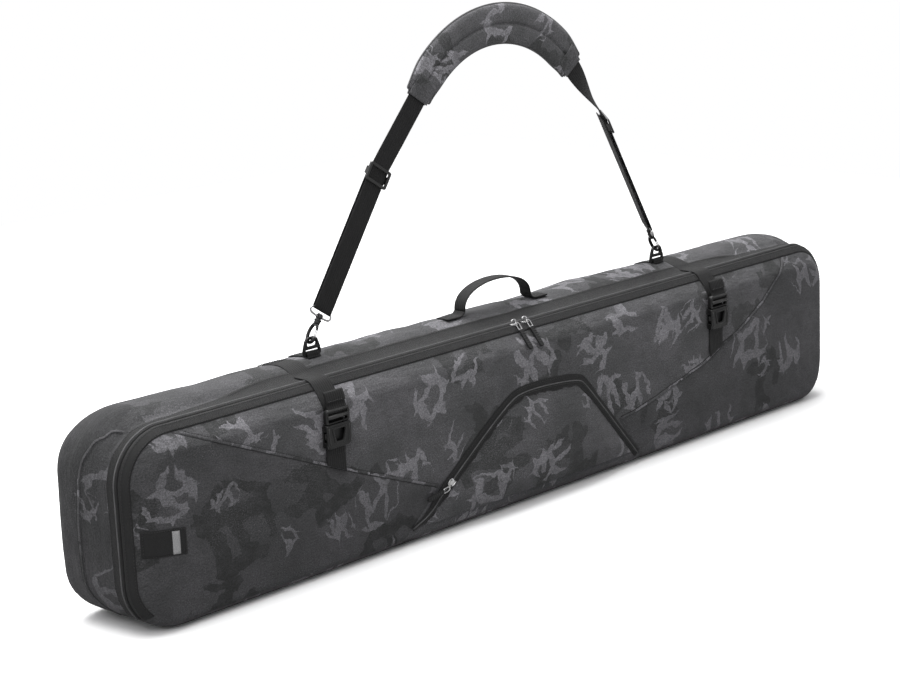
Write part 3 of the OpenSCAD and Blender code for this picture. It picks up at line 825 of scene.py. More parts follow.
OUTER = [(-20, -0.6), (-20.6, 1.0), (-24, 1.5), (-34, 1.5), (-44, 1.5), (-46.4, 1.3), (-47.2, 0.7), (-48, 1.4),
         (-50, 1.8), (-53, 1.8), (-54.4, 1.0), (-55.2, -0.6), (-55.4, -4)]
INNER = [(0, -5), (0, -1.0), (0.2, 0.9), (1.6, 1.5), (5, 1.5), (9, 1.5), (10.6, 1.3), (11.2, 0.4), (11.3, -0.5)]
fit(band("zip_outer_cloth", side_run, OUTER, wide=top_width), "case", "zip_strip", "zip_outer_strip")
fit(band("zip_inner_cloth", face_run, INNER), "front", "zip_strip", "zip_inner_strip")
fit(tube("zip_piping", side_run(-49.5, 1.9)[0], 1.35, PIPING), "case", "zip_strip")

for name, node, body, y0, y1, coil_y in (
        ("rear", "zip_tape_case", "case", RIM_Y - 1.35, RIM_Y, RIM_Y - 0.9),
        ("fore", "zip_tape_front", "front", SEAT_Y, SEAT_Y + 1.35, SEAT_Y + 0.9)):
    rows = [[rim_point(s, d, y) for s in ZIP_S] for y, d in ((y0, 5.5), (y0, 1.2), (y1, 1.2), (y1, 5.5))]
    fit(grid("zip_tape_" + name, rows, TAPE, ZIP_S, [0, 4, 5.5, 10], outward=True), body, "zip_tape", node)
    coil = tube("zip_coil_" + name, [rim_point(s, 0.9, coil_y) for s in ZIP_S], 0.62, COIL, sides=6)
    fit(coil, body, "zip_tape")

# ---------------------------------------------------------------- padding and lining

INNER_ROWS = [(y, 0.0) for y in spread(RIM_Y, BACK_Y - 24, 8)]
INNER_ROWS += [(BACK_Y - 24 + 12 * math.sin(math.radians(a)), 14 * (1 - math.cos(math.radians(a))))
               for a in (20, 45, 70, 90)]


def wall_layer(name, depth, material):
    """Layer of the case's wall, depth mm inside the cloth."""
    return grid(name, case_rows(CASE_S, INNER_ROWS, depth), material, CASE_S, lengths(INNER_ROWS))


lining = join("case_lining_cloth", [wall_layer("case_lining_cloth", WALL, LINING),
                                    back_sheet("lining_back", INNER_ROWS[-1], LINING, WALL)])
fit(lining, "case", "lining", "case_lining")
fit(wall_layer("case_padding", 5.0, FOAM), "case", "foam", "back_foam", "gusset_foam")

# bound edge that closes the case's wall at the rim
edge = ((RIM_Y + 2, 2.4), (RIM_Y + 0.2, 2.0), (RIM_Y - 0.6, 4.0), (RIM_Y - 0.6, WALL - 1), (RIM_Y + 0.5, WALL + 0.6),
        (RIM_Y + 9, WALL + 0.4))
rows = [[rim_point(s, d, y) for s in CASE_S] for y, d in edge]
fit(grid("rim_binding", rows, BINDING, CASE_S, [0, 3, 6, 12, 15, 24], outward=True), "case", "zip_strip")

for name, depth, material, node, slot in (("front_padding", 5.0, FOAM, "front_foam", "foam"),
                                          ("front_lining_cloth", WALL, LINING, "front_lining", "lining")):
    sheet = front_sheet(depth, False, LINING_Z)
    layer = take(sheet, name, lambda x, z: z > LINING_Z and inset_of(x, z)[0] > depth + 0.5, material)
    sheet.free()
    for v in layer.data.vertices:
        v.co.y = min(v.co.y, (SEAT_Y - 0.5) * MM)
    fit(layer, "front", slot, node)
edge = ((SEAT_Y - 2, 2.2), (SEAT_Y - 0.4, 3.0), (SEAT_Y - 0.4, WALL), (SEAT_Y - 1.5, WALL + 1),
        (SEAT_Y - 12, WALL + 7))
rows = [[rim_point(s, d, y, LINING_Z) for s in ZIP_S] for y, d in edge]
fit(grid("front_binding", rows, BINDING, ZIP_S, [0, 3, 10, 12, 26], outward=True), "front", "zip_strip")

# ---------------------------------------------------------------- seams on the front and the ends


def on_front(x, z, lift=0.0, seams=True):
    """A point lift mm off the front's surface, and the surface's outside there."""
    h = 2.0
    gx = (front_y(x + h, z) - front_y(x - h, z)) / (2 * h)
    gz = (front_y(x, z + h) - front_y(x, z - h)) / (2 * h)
    n = Vector((gx, -1, gz)).normalized()
    return Vector((x, front_y(x, z, seams=seams), z)) + n * lift, n


def shifted_line(line, off):
    """Polyline moved off mm to its left (seen from the front, going along it)."""
    pts = [Vector((x, z)) for x, z in line]
    legs = [(b - a).normalized() for a, b in zip(pts, pts[1:])]
    out = []
    for p, before, after in zip(pts, legs[:1] + legs, legs + legs[-1:]):
        along = (before + after).normalized()
        p = p + Vector((-along.y, along.x)) * off / max(along.dot(before), 0.3)
        out.append(Vector((p.x, 0, p.y)))
    return out


def front_line(line, off, step, lift):
    """Points and outsides beside a seam, where the pocket doesn't cover it."""
    spots = [p for p in resample(shifted_line(line, off), step)
             if p.z >= 14 and inset_of(p.x, p.z)[0] >= 12 and pocket_depth(p.x, p.z) < -3]
    return zip(*(on_front(p.x, p.z, lift) for p in spots))


for side, line, sign in (("left", SEAM_L[1:], 1), ("right", SEAM_R[1:], 1)):
    pts, outs = front_line(line, -2.2 * sign, 6, 0.1)
    fold = sweep("seam_fold_" + side, pts, outs, section_box(4.2, 1.5, 0.7, 2), CAMO)
    fit(fold, "front", "camo_cloth")
    row = front_line(line, -5.2 * sign, 4, 0.45)
    sew("seam_stitch_" + side, "front", "camo_cloth", [row])
    pts, _ = front_line(line, 0.6 * sign, 6, -0.1)
    fit(tube("seam_shadow_" + side, pts, 0.7, BINDING, sides=6), "front", "camo_cloth")


def case_normal(s, y):
    along = case_point(s + 2, y) - case_point(s - 2, y)
    deep = case_point(s, y + 2) - case_point(s, y - 2)
    n = along.cross(deep).normalized()
    _, _, nx, nz = column(s)
    return n if n.x * nx + n.z * nz > 0 else -n


# seam round each end, from the zip's corner back and down
END_SEAM = [(TURN[0] + 34, -22), (TURN[0] + 62, 2), (TURN[0] + 92, 17), (TURN[1] + 22, 26), (TURN[1] + 80, 30),
            (TURN[2] - 10, 31), (TURN[2] + 34, 26), (TURN[2] + 74, 4)]
for side, sign in (("left", 1), ("right", -1)):
    flat = resample(rounded([(s, y, 0) for s, y in END_SEAM], 3), 6)
    outs = [case_normal(sign * p.x, p.y) for p in flat]

    def beside(off, lift):
        return [case_point(sign * p.x, p.y + off) + n * lift for p, n in zip(flat, outs)]

    fold = sweep("end_seam_" + side, beside(0, 0.3), outs, section_box(4.6, 1.6, 0.75, 2), CAMO_CASE)
    fit(fold, "case", "camo_cloth")
    fit(tube("end_seam_shadow_" + side, beside(3.0, 0.1), 0.8, BINDING, sides=6), "case", "camo_cloth")
    sew("end_seam_stitch_" + side, "case", "camo_cloth", [(beside(-4.6, 0.4), outs)])

# topstitching along the zip's strips
for name, rows, body in (
        ("zip_outer_stitch", [side_run(-22.6, 1.7, top_width), side_run(-46.8, 1.3, top_width)], "case"),
        ("zip_inner_stitch", [face_run(9.6, 1.75), face_run(1.8, 1.7)], "front")):
    sew(name, body, "zip_strip", rows, THREAD_DARK, 3.2, 1.8, 0.38)

# ---------------------------------------------------------------- front pocket

POCKET_BAND = 22
PUFF = FRONT_Y - lo_hi("pocket_panel")[0].y


def pocket_y(x, z):
    """Y of the pocket's cloth."""
    e = pocket_depth(x, z) - POCKET_BAND
    u = min(max(e / 40, 0), 1)
    rise = mix(u, math.sin(math.pi / 2 * u), 0.75) * smooth(8, 62, z)
    puff = 1.5 + (PUFF - 0.5) * rise + 2.5 * smooth(20, 75, e) * smooth(30, 70, z)
    wrinkle = smooth(0, 30, e) * (ripple(x, z, 0, 95, 3.0, 6.1) + ripple(x, z * 1.2, 0, 36, 1.3, 1.9))
    pull_in = 1.2 * hump(e, 5) * ripple(x, z, 0, 11, 1.0, 8.2)
    return FRONT_Y - puff - wrinkle * smooth(20, 60, z) + pull_in


bm = point_grid([[(x, 0, z) for x in spread(-300, 300, 6)] for z in spread(27, 210, 6)])
for (x0, z0), (x1, z1) in zip(POCKET, POCKET[1:]):
    n = Vector((z0 - z1, 0, x1 - x0)).normalized()
    for inset, clear in ((POCKET_BAND - 2.5, True), (POCKET_BAND + 2, False), (POCKET_BAND + 7, False)):
        geom = bm.verts[:] + bm.edges[:] + bm.faces[:]
        bmesh.ops.bisect_plane(bm, geom=geom, plane_co=Vector((x0, 0, z0)) - n * inset, plane_no=n,
                               clear_outer=clear)
for v in bm.verts:
    v.co.y = pocket_y(v.co.x, v.co.z)
pocket = take(bm, "pocket_cloth", lambda x, z: True, CAMO_POCKET)
bm.free()
FLAP_Y = -0.088
flap_fold = ("front", "pocket_flap", (0, FLAP_Y, 0.024), (0, FLAP_Y, 0.040))
fit(pocket, flap_fold, "camo_cloth", "pocket_panel")


def pocket_run(inset, lift):
    """Points round the pocket's edge, inset mm inside it, from its lower left end up and over to the right."""
    line = shifted_line([(-300, 38), (-262, 52)] + POCKET[1:7], -inset)
    return [Vector((p.x, front_y(p.x, p.z, seams=False) - lift, p.z)) for p in resample(rounded(line, 2), 5)
            if p.z >= 20]


def pocket_size(t):
    """The band narrows down its right leg and at its lower left end."""
    return mix(1.0, 0.62, smooth(0.62, 0.8, t)) * mix(0.3, 1.0, smooth(0.0, 0.13, t))


strip = sweep("pocket_zip_cloth", pocket_run(11.5, 1.0), FRONTWARD, section_box(25, 1.6, 0.7, 5), STRIP,
              scale=pocket_size)
fit(strip, "front", "zip_strip", "pocket_zip_strip")
fit(tube("pocket_piping", pocket_run(10.5, 2.2), 1.15, PIPING), "front", "zip_strip")
fit(tube("pocket_coil", pocket_run(13.6, 1.7), 1.0, COIL, sides=6), "front", "zip_tape")
rows = [(pocket_run(inset, 2.0)[14:], FRONTWARD) for inset in (2.0, 20.0)]
sew("pocket_stitch", "front", "zip_strip", rows, THREAD_DARK, 3.2, 1.8, 0.4)

# ---------------------------------------------------------------- label

label_lo, label_hi = lo_hi("label_patch")
LABEL_X = (label_lo.x - 18, label_hi.x - 1)
LABEL_TILT = 0.11


def patch(name, x0, x1, z0, z1, lift, material):
    """Flat sewn patch that follows the front's surface, with a skirt down to it."""
    xs, zs = spread(x0, x1, 4), spread(z0, z1, 4)
    top = [on_front(x, z + LABEL_TILT * (x1 - x), lift, seams=False)[0] for z in zs for x in xs]
    w, h = len(xs), len(zs)
    border = ([*range(w)] + [i * w + w - 1 for i in range(1, h)] + [(h - 1) * w + j for j in range(w - 2, -1, -1)]
              + [i * w for i in range(h - 2, 0, -1)])
    skirt = [top[k] + Vector((0, 1.6, 0)) for k in border]
    n = len(border)
    faces = grid_faces(h, w) + [(border[k], border[(k + 1) % n], w * h + (k + 1) % n, w * h + k) for k in range(n)]
    return make(name, top + skirt, faces, material, outward=True)


base = patch("label_cloth", *LABEL_X, label_lo.z, label_hi.z - 1, 1.1, LABEL)
fit(base, "front", "label", "label_patch")
mid = mix(*LABEL_X, 0.66)
light = patch("label_panel", mid, mid + 12, label_lo.z + 3, label_hi.z - 3.5, 1.5, LABEL_LIGHT)
fit(light, "front", "label")
x0, x1 = LABEL_X[0] + 2, LABEL_X[1] - 1.6
z0, z1 = label_lo.z + 1.6, label_hi.z - 2.6
seam = resample([Vector((x, 0, z + LABEL_TILT * (LABEL_X[1] - x)))
                 for x, z in ((x0, z0), (x1, z0), (x1, z1), (x0, z1), (x0, z0))], 3)
row = zip(*(on_front(p.x, p.z, 1.5, seams=False) for p in seam))
sew("label_stitch", "front", "label", [row], THREAD_DARK, 2.6, 1.4, 0.35)

# ---------------------------------------------------------------- compression straps

WEB_W, WEB_T = 38, 1.6
FLAT = section_box(WEB_W, WEB_T, 0.7, 7)


def yz_path(points, x, step=4.0):
    return resample(rounded([(x, y, z) for y, z in points], 3), step)


def plane_outs(path, flip=lambda out: False):
    """Outward directions of a path that lies in a plane of constant X, turned over where flip(out) says so."""
    outs = [Vector((0, t.z, -t.y)) for t in directions(path)]
    return [-out if flip(out) else out for out in outs]


def cross_stitch(half_w, a, b, place):
    """Box with an X in it, between two positions along a strap. place(u, t) gives a point and its outside."""
    w = half_w - 4
    corners = [(-w, a), (w, a), (w, b), (-w, b), (-w, a)]
    rows = []
    for (u0, t0), (u1, t1) in [*zip(corners, corners[1:]), (corners[0], corners[2]), (corners[1], corners[3])]:
        n = max(2, int(math.hypot(u1 - u0, t1 - t0) / 2))
        rows.append(zip(*(place(mix(u0, u1, i / n), mix(t0, t1, i / n)) for i in range(n + 1))))
    return rows


def on_case(lift, x, y, across=0.0):
    """A point lift mm over the case's top, moved level across, and up."""
    return Vector((x + across, y, case_point(-x, y).z + lift)), UP


for side, x, line in zip(("left", "right"), STRAPS, SEAMS):
    over = [(y, case_point(-x, y).z + 1.6) for y in spread(60, -20, 6)]
    over += [(-26, 302.9), (-44, 303.5), (-54, 303.4), (-60.5, 301.6), (-66, 297), (-72.5, 289), (-80, 279),
             (-86.5, 269), (-89.6, 260), (-90.2, 250), (-90.3, 241)]
    path = yz_path(over, x)
    outs = plane_outs(path, lambda out: out.z <= 0 and out.y >= 0)
    strap = sweep("strap_upper_" + side, path, outs, FLAT, WEBBING)
    fit(strap, "case", "webbing", side + "_strap_upper")
    rows = cross_stitch(WEB_W / 2, 30, 56, lambda u, y: on_case(2.6, x + u, y))
    sew("strap_box_" + side, "case", "webbing", rows)

    # lower run, from the diagonal seam up behind the socket
    (x0, z0), (x1, z1) = [leg for leg in zip(line[1:], line[2:]) if min(leg)[0] <= x <= max(leg)[0]][0]
    slope = (z1 - z0) / (x1 - x0)
    verts = []
    for i in range(16):
        up = i / 15
        for u, t in FLAT:
            z = mix(z0 + slope * (x - x0) + slope * u + 1.0, 204, up)
            behind = mix(front_y(x, z, seams=False), FRONT_Y - 0.4, smooth(0.3, 0.9, up))
            verts.append(Vector((x + u, min(front_y(x + u, z, seams=False), behind) - 1.3 - t, z)))
    lower = make("strap_lower_" + side, verts, tube_faces(16, len(FLAT)), WEBBING,
                 [((p.x - x) * MM, p.z * MM) for p in verts], outward=True)
    fit(lower, "front", "webbing", side + "_strap_lower")
    path = yz_path([(FRONT_Y - out, z) for out, z in ((1.2, 186), (3.2, 189), (3.4, 198), (4.2, 206), (6.6, 209.8),
                                                      (8.2, 208.4), (8.0, 206.8))], x)
    fit(sweep("strap_fold_" + side, path, FRONTWARD, FLAT, HEM), "front", "webbing")

    # loose tail above the plug: out of the ladder, up, and folded back at its end
    y0 = FRONT_Y - 9.4
    parts = []
    for pts in ([(3.4, 252), (0.4, 256), (-2.6, 259.5), (-2.4, 263), (0.6, 266), (2.2, 272), (4.2, 280),
                 (7.4, 288.5)], [(0.2, 273), (1.9, 280), (5.0, 288.5), (6.9, 289.7)]):
        path = yz_path([(y0 + y, z) for y, z in pts], x, 2.5)
        parts.append(sweep("tail", path, plane_outs(path, lambda out: out.y >= 0), FLAT, HEM))
    fit(join("strap_tail_" + side, parts), "plug_" + side, "webbing", side + "_strap_tail")
    row = [Vector((x + u, y0 - 0.2, 275.5)) for u in spread(-16, 16, 3)]
    sew("tail_stitch_" + side, "plug_" + side, "webbing", [(row, Vector((0, -1, 0.2)))], THREAD, 2.8, 1.5, 0.35)

# ---------------------------------------------------------------- rings, handle

TAB_W = 25
HW_Y = sum(v.y for v in lo_hi("left_ring")) / 2
for side in ("left", "right"):
    lo, hi = lo_hi(side + "_ring")
    x, bar_z = (lo.x + hi.x) / 2, lo.z + 2.5
    ground = case_point(-x, HW_Y).z
    pts = [(y, case_point(-x, y).z + 1.2) for y in (52, 44, 36, 28, 22)]
    pts += [(17, ground + 2.6), (HW_Y + 5.2, bar_z - 1.5), (HW_Y + 4.3, bar_z + 2.4), (HW_Y, bar_z + 4.6),
            (HW_Y - 4.3, bar_z + 2.0), (HW_Y - 4.6, bar_z - 2.4), (HW_Y - 4, ground + 1.6), (HW_Y - 7, ground + 0.9)]
    path = yz_path(pts, x, 2.5)
    tab = sweep("anchor_tab_" + side, path, plane_outs(path), section_box(TAB_W, 1.8, 0.8), WEBBING)
    fit(tab, "case", "webbing", side + "_anchor_tab")
    rows = cross_stitch(TAB_W / 2 + 1, 22, 48, lambda u, y: on_case(2.2, x, y, u))
    sew("anchor_stitch_" + side, "case", "webbing", rows, THREAD)

arch_lo, arch_hi = lo_hi("carry_handle")
arch_x, arch_half = (arch_lo.x + arch_hi.x) / 2, (arch_hi.x - arch_lo.x) / 2 - 1.5
handle_section = section_box(arch_hi.y - arch_lo.y, 2.6, 1.1)


def arch_sweep(path, centre_z):
    """Webbing whose outside faces away from a centre on the handle's axis."""
    outs = [Vector((-t.z, 0, t.x)) for t in directions(path)]
    centre = Vector((arch_x, HW_Y, centre_z))
    outs = [n if (p - centre).dot(n) > 0 else -n for p, n in zip(path, outs)]
    return sweep("handle_webbing", path, outs, handle_section, WEBBING)


top = []
for i in range(25):
    a = math.pi * (1 - i / 24)
    rise = (arch_hi.z - arch_lo.z - 5) * max(math.sin(a), 0) ** 0.8
    top.append((arch_x + (arch_half - 1) * math.cos(a), HW_Y, arch_lo.z + 3.5 + rise))
handle = arch_sweep(resample(rounded(top, 1), 5), arch_lo.z - 10)
foot = (arch_x * MM, HW_Y * MM)
bend = ("case", "handle", (*foot, (arch_lo.z - 1) * MM), (*foot, (arch_lo.z + 12) * MM))
fit(handle, bend, "webbing", "carry_handle")
tabs, rows = [], []
for sign in (-1, 1):
    end = [on_case(1.5 + 2.2 * smooth(10, 0, reach), arch_x + sign * (arch_half + reach), HW_Y)[0]
           for reach in (40, 32, 24, 16, 9, 4)]
    end.append((arch_x + sign * (arch_half - 1.0), HW_Y, arch_lo.z + 3.5))
    tabs.append(arch_sweep(resample(rounded(end, 2), 3), 200))

    def on_end(u, t):
        p, out = on_case(2.95, arch_x + sign * (arch_half + t), HW_Y)
        return Vector((p.x, HW_Y + u, p.z)), out
    rows += [tuple(row) for row in cross_stitch(12.5, 12, 37, on_end)]
fit(join("handle_tabs_webbing", tabs), "case", "webbing", "handle_tabs")
sew("handle_stitch", "case", "webbing", rows, THREAD)

# ---------------------------------------------------------------- shoulder strap

PAD_R, PAD_W, PAD_T = 224, 65, 14
PAD_C = Vector((36, sum(v.y for v in lo_hi("shoulder_pad")) / 2, 562))
PAD_FROM, PAD_TO = 37.2, 145.2          # the pad's arc, in degrees
LEGS = {"left": (33.8, 0.0, 278, PAD_TO), "right": (-28.7, 57.0, 276, PAD_FROM)}  # lean, turn, adjuster, end
LOOP_Z, STAND = 47, 2.6                 # height of the wire loop, half distance of the doubled webbing


def leg_frame(side):
    """Matrix of the leg's frame in millimetres: origin at the ring's upper bar, Z up along the leg."""
    lo, hi = lo_hi(side + "_ring")
    lean, turn = LEGS[side][:2]
    place = Matrix.Translation(((lo.x + hi.x) / 2, HW_Y, hi.z - 2.5))
    return place @ Matrix.Rotation(math.radians(lean), 4, "Y") @ Matrix.Rotation(math.radians(turn), 4, "Z")


def pad_point(angle, r=PAD_R, y=0.0):
    a = math.radians(angle)
    return Vector((PAD_C.x + r * math.cos(a), PAD_C.y + y, PAD_C.z + r * math.sin(a)))


for side, (lean, turn, adjust, pad_a) in LEGS.items():
    leg = leg_frame(side)
    spin = leg.to_3x3()
    # one run: from the pad down through the adjuster, round the wire loop, and back up to the adjuster
    low = [Vector((0, y, w)) for y, w in (
        (-STAND, adjust + 17), (-STAND, adjust - 60), (-STAND, LOOP_Z + 40), (-STAND, LOOP_Z + 4),
        (-2.2, LOOP_Z - 1.6), (0, LOOP_Z - 2.9), (2.2, LOOP_Z - 1.6), (STAND, LOOP_Z + 4), (STAND, LOOP_Z + 60),
        (STAND, adjust - 30), (STAND - 0.2, adjust - 6), (STAND + 0.1, adjust + 15))]
    local = resample(low[:3], 10)[:-1] + resample(rounded(low[2:9]), 1.6)[:-1] + resample(low[8:], 10)
    path = [leg @ p for p in local]
    last = pad_point(pad_a)
    steps = [k / 16 for k in range(16)]
    axis = (last - path[0]).normalized()
    outs = [Matrix.Rotation(math.radians(turn) * smooth(0, 1, t), 3, axis) @ FRONTWARD for t in steps]
    outs += [spin @ out for out in plane_outs(local)]
    path = [last.lerp(path[0], t) for t in steps] + path
    strap = sweep("webbing_" + side, path, outs, FLAT, WEBBING)
    fit(strap, "shoulder_strap", "webbing", side + "_webbing")
    sewn = [([leg @ Vector((u, 3.7, adjust + v)) for v in spread(-24, 12, 3)], spin @ -FRONTWARD)
            for u in (-13, 13)]
    sew("webbing_stitch_" + side, "shoulder_strap", "webbing", sewn)


def pad_slim(angle):
    """The pad is a little narrower at its ends."""
    return 0.86 + 0.14 * smooth(0.0, 12.0, min(angle - PAD_FROM, PAD_TO - angle))


def pad_puff(angle, u, side):
    """Half thickness of the pad at u, from -1 to 1 across: two channels with a seam between."""
    edge = max(1 - abs(u) ** 5.0, 0) ** 0.55
    fat = 0.32 + 0.68 * smooth(0.0, 9.0, min(angle - PAD_FROM, PAD_TO - angle))
    puff = PAD_T / 2 * fat * 1.08 * edge * (1 - 0.48 * hump(u, 0.075))
    puff *= 1 + 0.10 * noise.noise(Vector((angle / 4.0, u * 2.2, side * 3.1)))
    puff += 0.9 * fat * (1 - abs(u)) * noise.noise(Vector((angle / 1.9, u * 3, 11.0 + side)))
    return max(puff, 0.5 if abs(u) < 0.99 else 0)


HALF_ACROSS = [0.045, 0.09, 0.15, 0.25, 0.4, 0.55, 0.7, 0.82, 0.9, 0.95, 0.985, 1]
ACROSS = [-u for u in HALF_ACROSS[::-1]] + [0] + HALF_ACROSS
verts, uvs = [], []
stations = spread(PAD_FROM, PAD_TO, 1.25)
for a in stations:
    for side, us in ((1, ACROSS), (-1, ACROSS[-2:0:-1])):
        for u in us:
            w = PAD_W / 2 * pad_slim(a)
            verts.append(pad_point(a, PAD_R + u * w, -side * pad_puff(a, u, side)))
            uvs.append((u * w * MM + (0.2 if side < 0 else 0), math.radians(a) * PAD_R * MM))
pad = make("shoulder_pad_cloth", verts, tube_faces(len(stations), 2 * len(ACROSS) - 2), CAMO_PAD, uvs, outward=True)
sub = pad.modifiers.new("soft", "SUBSURF")
sub.levels = sub.render_levels = 1
fit(pad, "shoulder_strap", "camo_cloth", "shoulder_pad")

edge = [(a, 1) for a in spread(PAD_FROM, PAD_TO, 1.2)]
edge += [(a, -1) for a, _ in edge[::-1]]
rim = [pad_point(a, PAD_R + sign * (PAD_W / 2 + 0.2) * pad_slim(a)) for a, sign in edge + edge[:1]]
rim = resample(rim, 2.5)[:-1]
rim = [(rim[i - 1] + p * 2 + rim[(i + 1) % len(rim)]) / 4 for i, p in enumerate(rim)]
fit(tube("pad_piping", rim, 1.5, PIPING, closed=True), "shoulder_strap", "webbing")
rows = [([pad_point(a, y=-sign * 4.15) for a in spread(PAD_FROM + 5, PAD_TO - 5, 1.2)], sign * FRONTWARD)
        for sign in (1, -1)]
sew("pad_stitch", "shoulder_strap", "webbing", rows, THREAD)
for side, ang, sign in (("left", PAD_TO, -1), ("right", PAD_FROM, 1)):
    # webbing end sewn on the pad, with a boxed cross
    for name, out in (("pad_end_", 1), ("pad_end_back_", -1)):
        pts = [pad_point(ang + sign * a, y=-out * mix(2.2, 7.2, smooth(0, 8, k)))
               for k, a in enumerate(spread(-1.5, 7.5, 0.9))]
        end = sweep(name + side, pts, out * FRONTWARD, section_box(WEB_W + 6, 1.5, 0.6, 6), CAMO_PAD)
        fit(end, "shoulder_strap", "camo_cloth")

    def on_end(u, t):
        return pad_point(ang + sign * t, PAD_R + u, -1.0 - mix(2.2, 7.2, smooth(0, 7.2, t + 1.5))), FRONTWARD

    sew("pad_end_stitch_" + side, "shoulder_strap", "webbing", cross_stitch(WEB_W / 2, 1.2, 6.6, on_end), THREAD)

# ---------------------------------------------------------------- hard parts


def soften(node, material, width=0.6, angle=35):
    """A CAD part that stays: rounded edges and its own material."""
    obj = nodes[node]
    for slot in obj.material_slots:
        slot.material = material
    bevel = obj.modifiers.new("edges", "BEVEL")
    bevel.width = width * MM
    bevel.segments = 2
    bevel.limit_method = "ANGLE"
    bevel.angle_limit = math.radians(angle)


def fillet(points, r):
    """Closed loop with its corners rounded."""
    points = [Vector(p) for p in points]
    out = []
    for a, p, b in zip(points[-1:] + points, points, points[1:] + points[:1]):
        start = p.lerp(a, min(r / (a - p).length, 0.48))
        end = p.lerp(b, min(r / (b - p).length, 0.48))
        out += [start.lerp(p, t).lerp(p.lerp(end, t), t) for t in (0, 0.3, 0.7, 1)]
    return out


def mirrored(points):
    """Loop from its right half, listed upward."""
    return [(-points[0][0], points[0][1])] + points + [(-x, z) for x, z in points[:0:-1]]


def rect(x0, z0, x1, z1, r=1.5):
    return fillet([(x0, z0), (x1, z0), (x1, z1), (x0, z1)], r)


def plate(name, loops, y0, y1, edge, material, place):
    """Flat part with rounded edges between two depths: an outer loop of (x, z), then its holes."""
    data = bpy.data.curves.new(name, "CURVE")
    data.dimensions, data.fill_mode = "2D", "BOTH"
    data.extrude = (abs(y1 - y0) / 2 - edge) * MM
    data.bevel_depth, data.bevel_resolution, data.offset = edge * MM, 2, -edge * MM
    for k, loop in enumerate(loops):
        area = sum(a[0] * b[1] - b[0] * a[1] for a, b in zip(loop, loop[1:] + loop[:1]))
        loop = loop if (area > 0) == (k == 0) else loop[::-1]
        line = data.splines.new("POLY")
        line.points.add(len(loop) - 1)
        for point, p in zip(line.points, loop):
            point.co = (p[0] * MM, p[1] * MM, 0, 1)
        line.use_cyclic_u = True
    shape = add_object(name, data)
    mesh = bpy.data.meshes.new_from_object(shape.evaluated_get(bpy.context.evaluated_depsgraph_get()))
    bpy.data.objects.remove(shape)
    mesh.transform(place @ Matrix.Translation((0, (y0 + y1) / 2 * MM, 0)) @ Matrix.Rotation(math.pi / 2, 4, "X"))
    mesh.materials.clear()
    mesh.materials.append(material)
    mesh.polygons.foreach_set("use_smooth", [True] * len(mesh.polygons))
    mesh.set_sharp_from_angle(angle=math.radians(38))
    return add_object(name, mesh)


def rod(name, points, r, material, place, closed=False, flat=1.0, step=None, sides=10):
    """Rod along points given in a part's own frame. flat widens its section across."""
    points = [place @ (Vector(p) * MM) / MM for p in points]
    if step:
        points = resample(points, step)
    obj = tube(name, points, r, material, closed, sides)
    if flat != 1.0:
        back = place.inverted()
        for v in obj.data.vertices:
            p = back @ v.co
            p.x *= flat
            v.co = place @ p
    return obj


def closed_path(points, step=1.2):
    """Even points round a closed, rounded loop."""
    ring = fillet(points, 7)
    return resample(ring + ring[:1], step)[:-1]


def at(x, y, z):
    return Matrix.Translation((x * MM, y * MM, z * MM))


# side-release buckles
for side, x in zip(("left", "right"), STRAPS):
    here = at(x, FRONT_Y, 0)
    rim = mirrored([(10, 210), (15.5, 236)])
    window = mirrored([(7, 213.5), (12, 232.5)])
    parts = [
        plate("socket", [rect(-24.5, 203, 24.5, 240, 4)], -4.3, -1.8, 0.8, PLASTIC, here),
        plate("face", [fillet(mirrored([(21, 203), (24.5, 212), (24.5, 240)]), 4), fillet(window, 2)], -13.6, -10.8,
              1.2, PLASTIC, here),
        plate("rim", [fillet(rim, 4), fillet(window, 2)], -14.7, -13.0, 0.8, PLASTIC, here),
        plate("lip", [rect(-20, 202.6, 20, 206.6)], -12.6, -3.4, 1.1, PLASTIC, here),
        plate("inside", [rect(-19, 212, 19, 238)], -8.2, -7.2, 0.3, COIL, here)]
    for s in (-1, 1):
        parts += [plate("wall", [rect(s * 22 - 2.2, z0, s * 22 + 2.2, z1)], -12.4, -3.2, 1, PLASTIC, here)
                  for z0, z1 in ((229.5, 239.8), (204, 213))]
        ridge = [(s * 18.5, -13.6, 209), (s * 20.5, -13.6, 222), (s * 20.5, -13.6, 236)]
        parts.append(rod("ridge", ridge, 0.9, PLASTIC, here))
    fit(join("buckle_socket_" + side, parts), "front", "black_plastic", side + "_buckle_socket")
    parts = [
        plate("plug", [fillet(mirrored([(24, 240.6), (24, 258), (20.5, 263.8)]), 4), rect(-19, 243.6, 19, 248.2),
                       rect(-19, 254.4, 19, 259.6)], -12.6, -4.6, 1.6, PLASTIC, here),
        rod("bar", [(-20, -11.0, 251.3), (20, -11.0, 251.3)], 3.4, PLASTIC, here),
        rod("brow", [(-21, -10.6, 261.6), (21, -10.6, 261.6)], 2.4, PLASTIC, here),
        plate("tongue", [rect(-4, 213, 4, 242)], -7.0, -4.6, 0.6, PLASTIC, here)]
    fit(join("buckle_plug_" + side, parts), "plug_" + side, "black_plastic", side + "_buckle_plug")

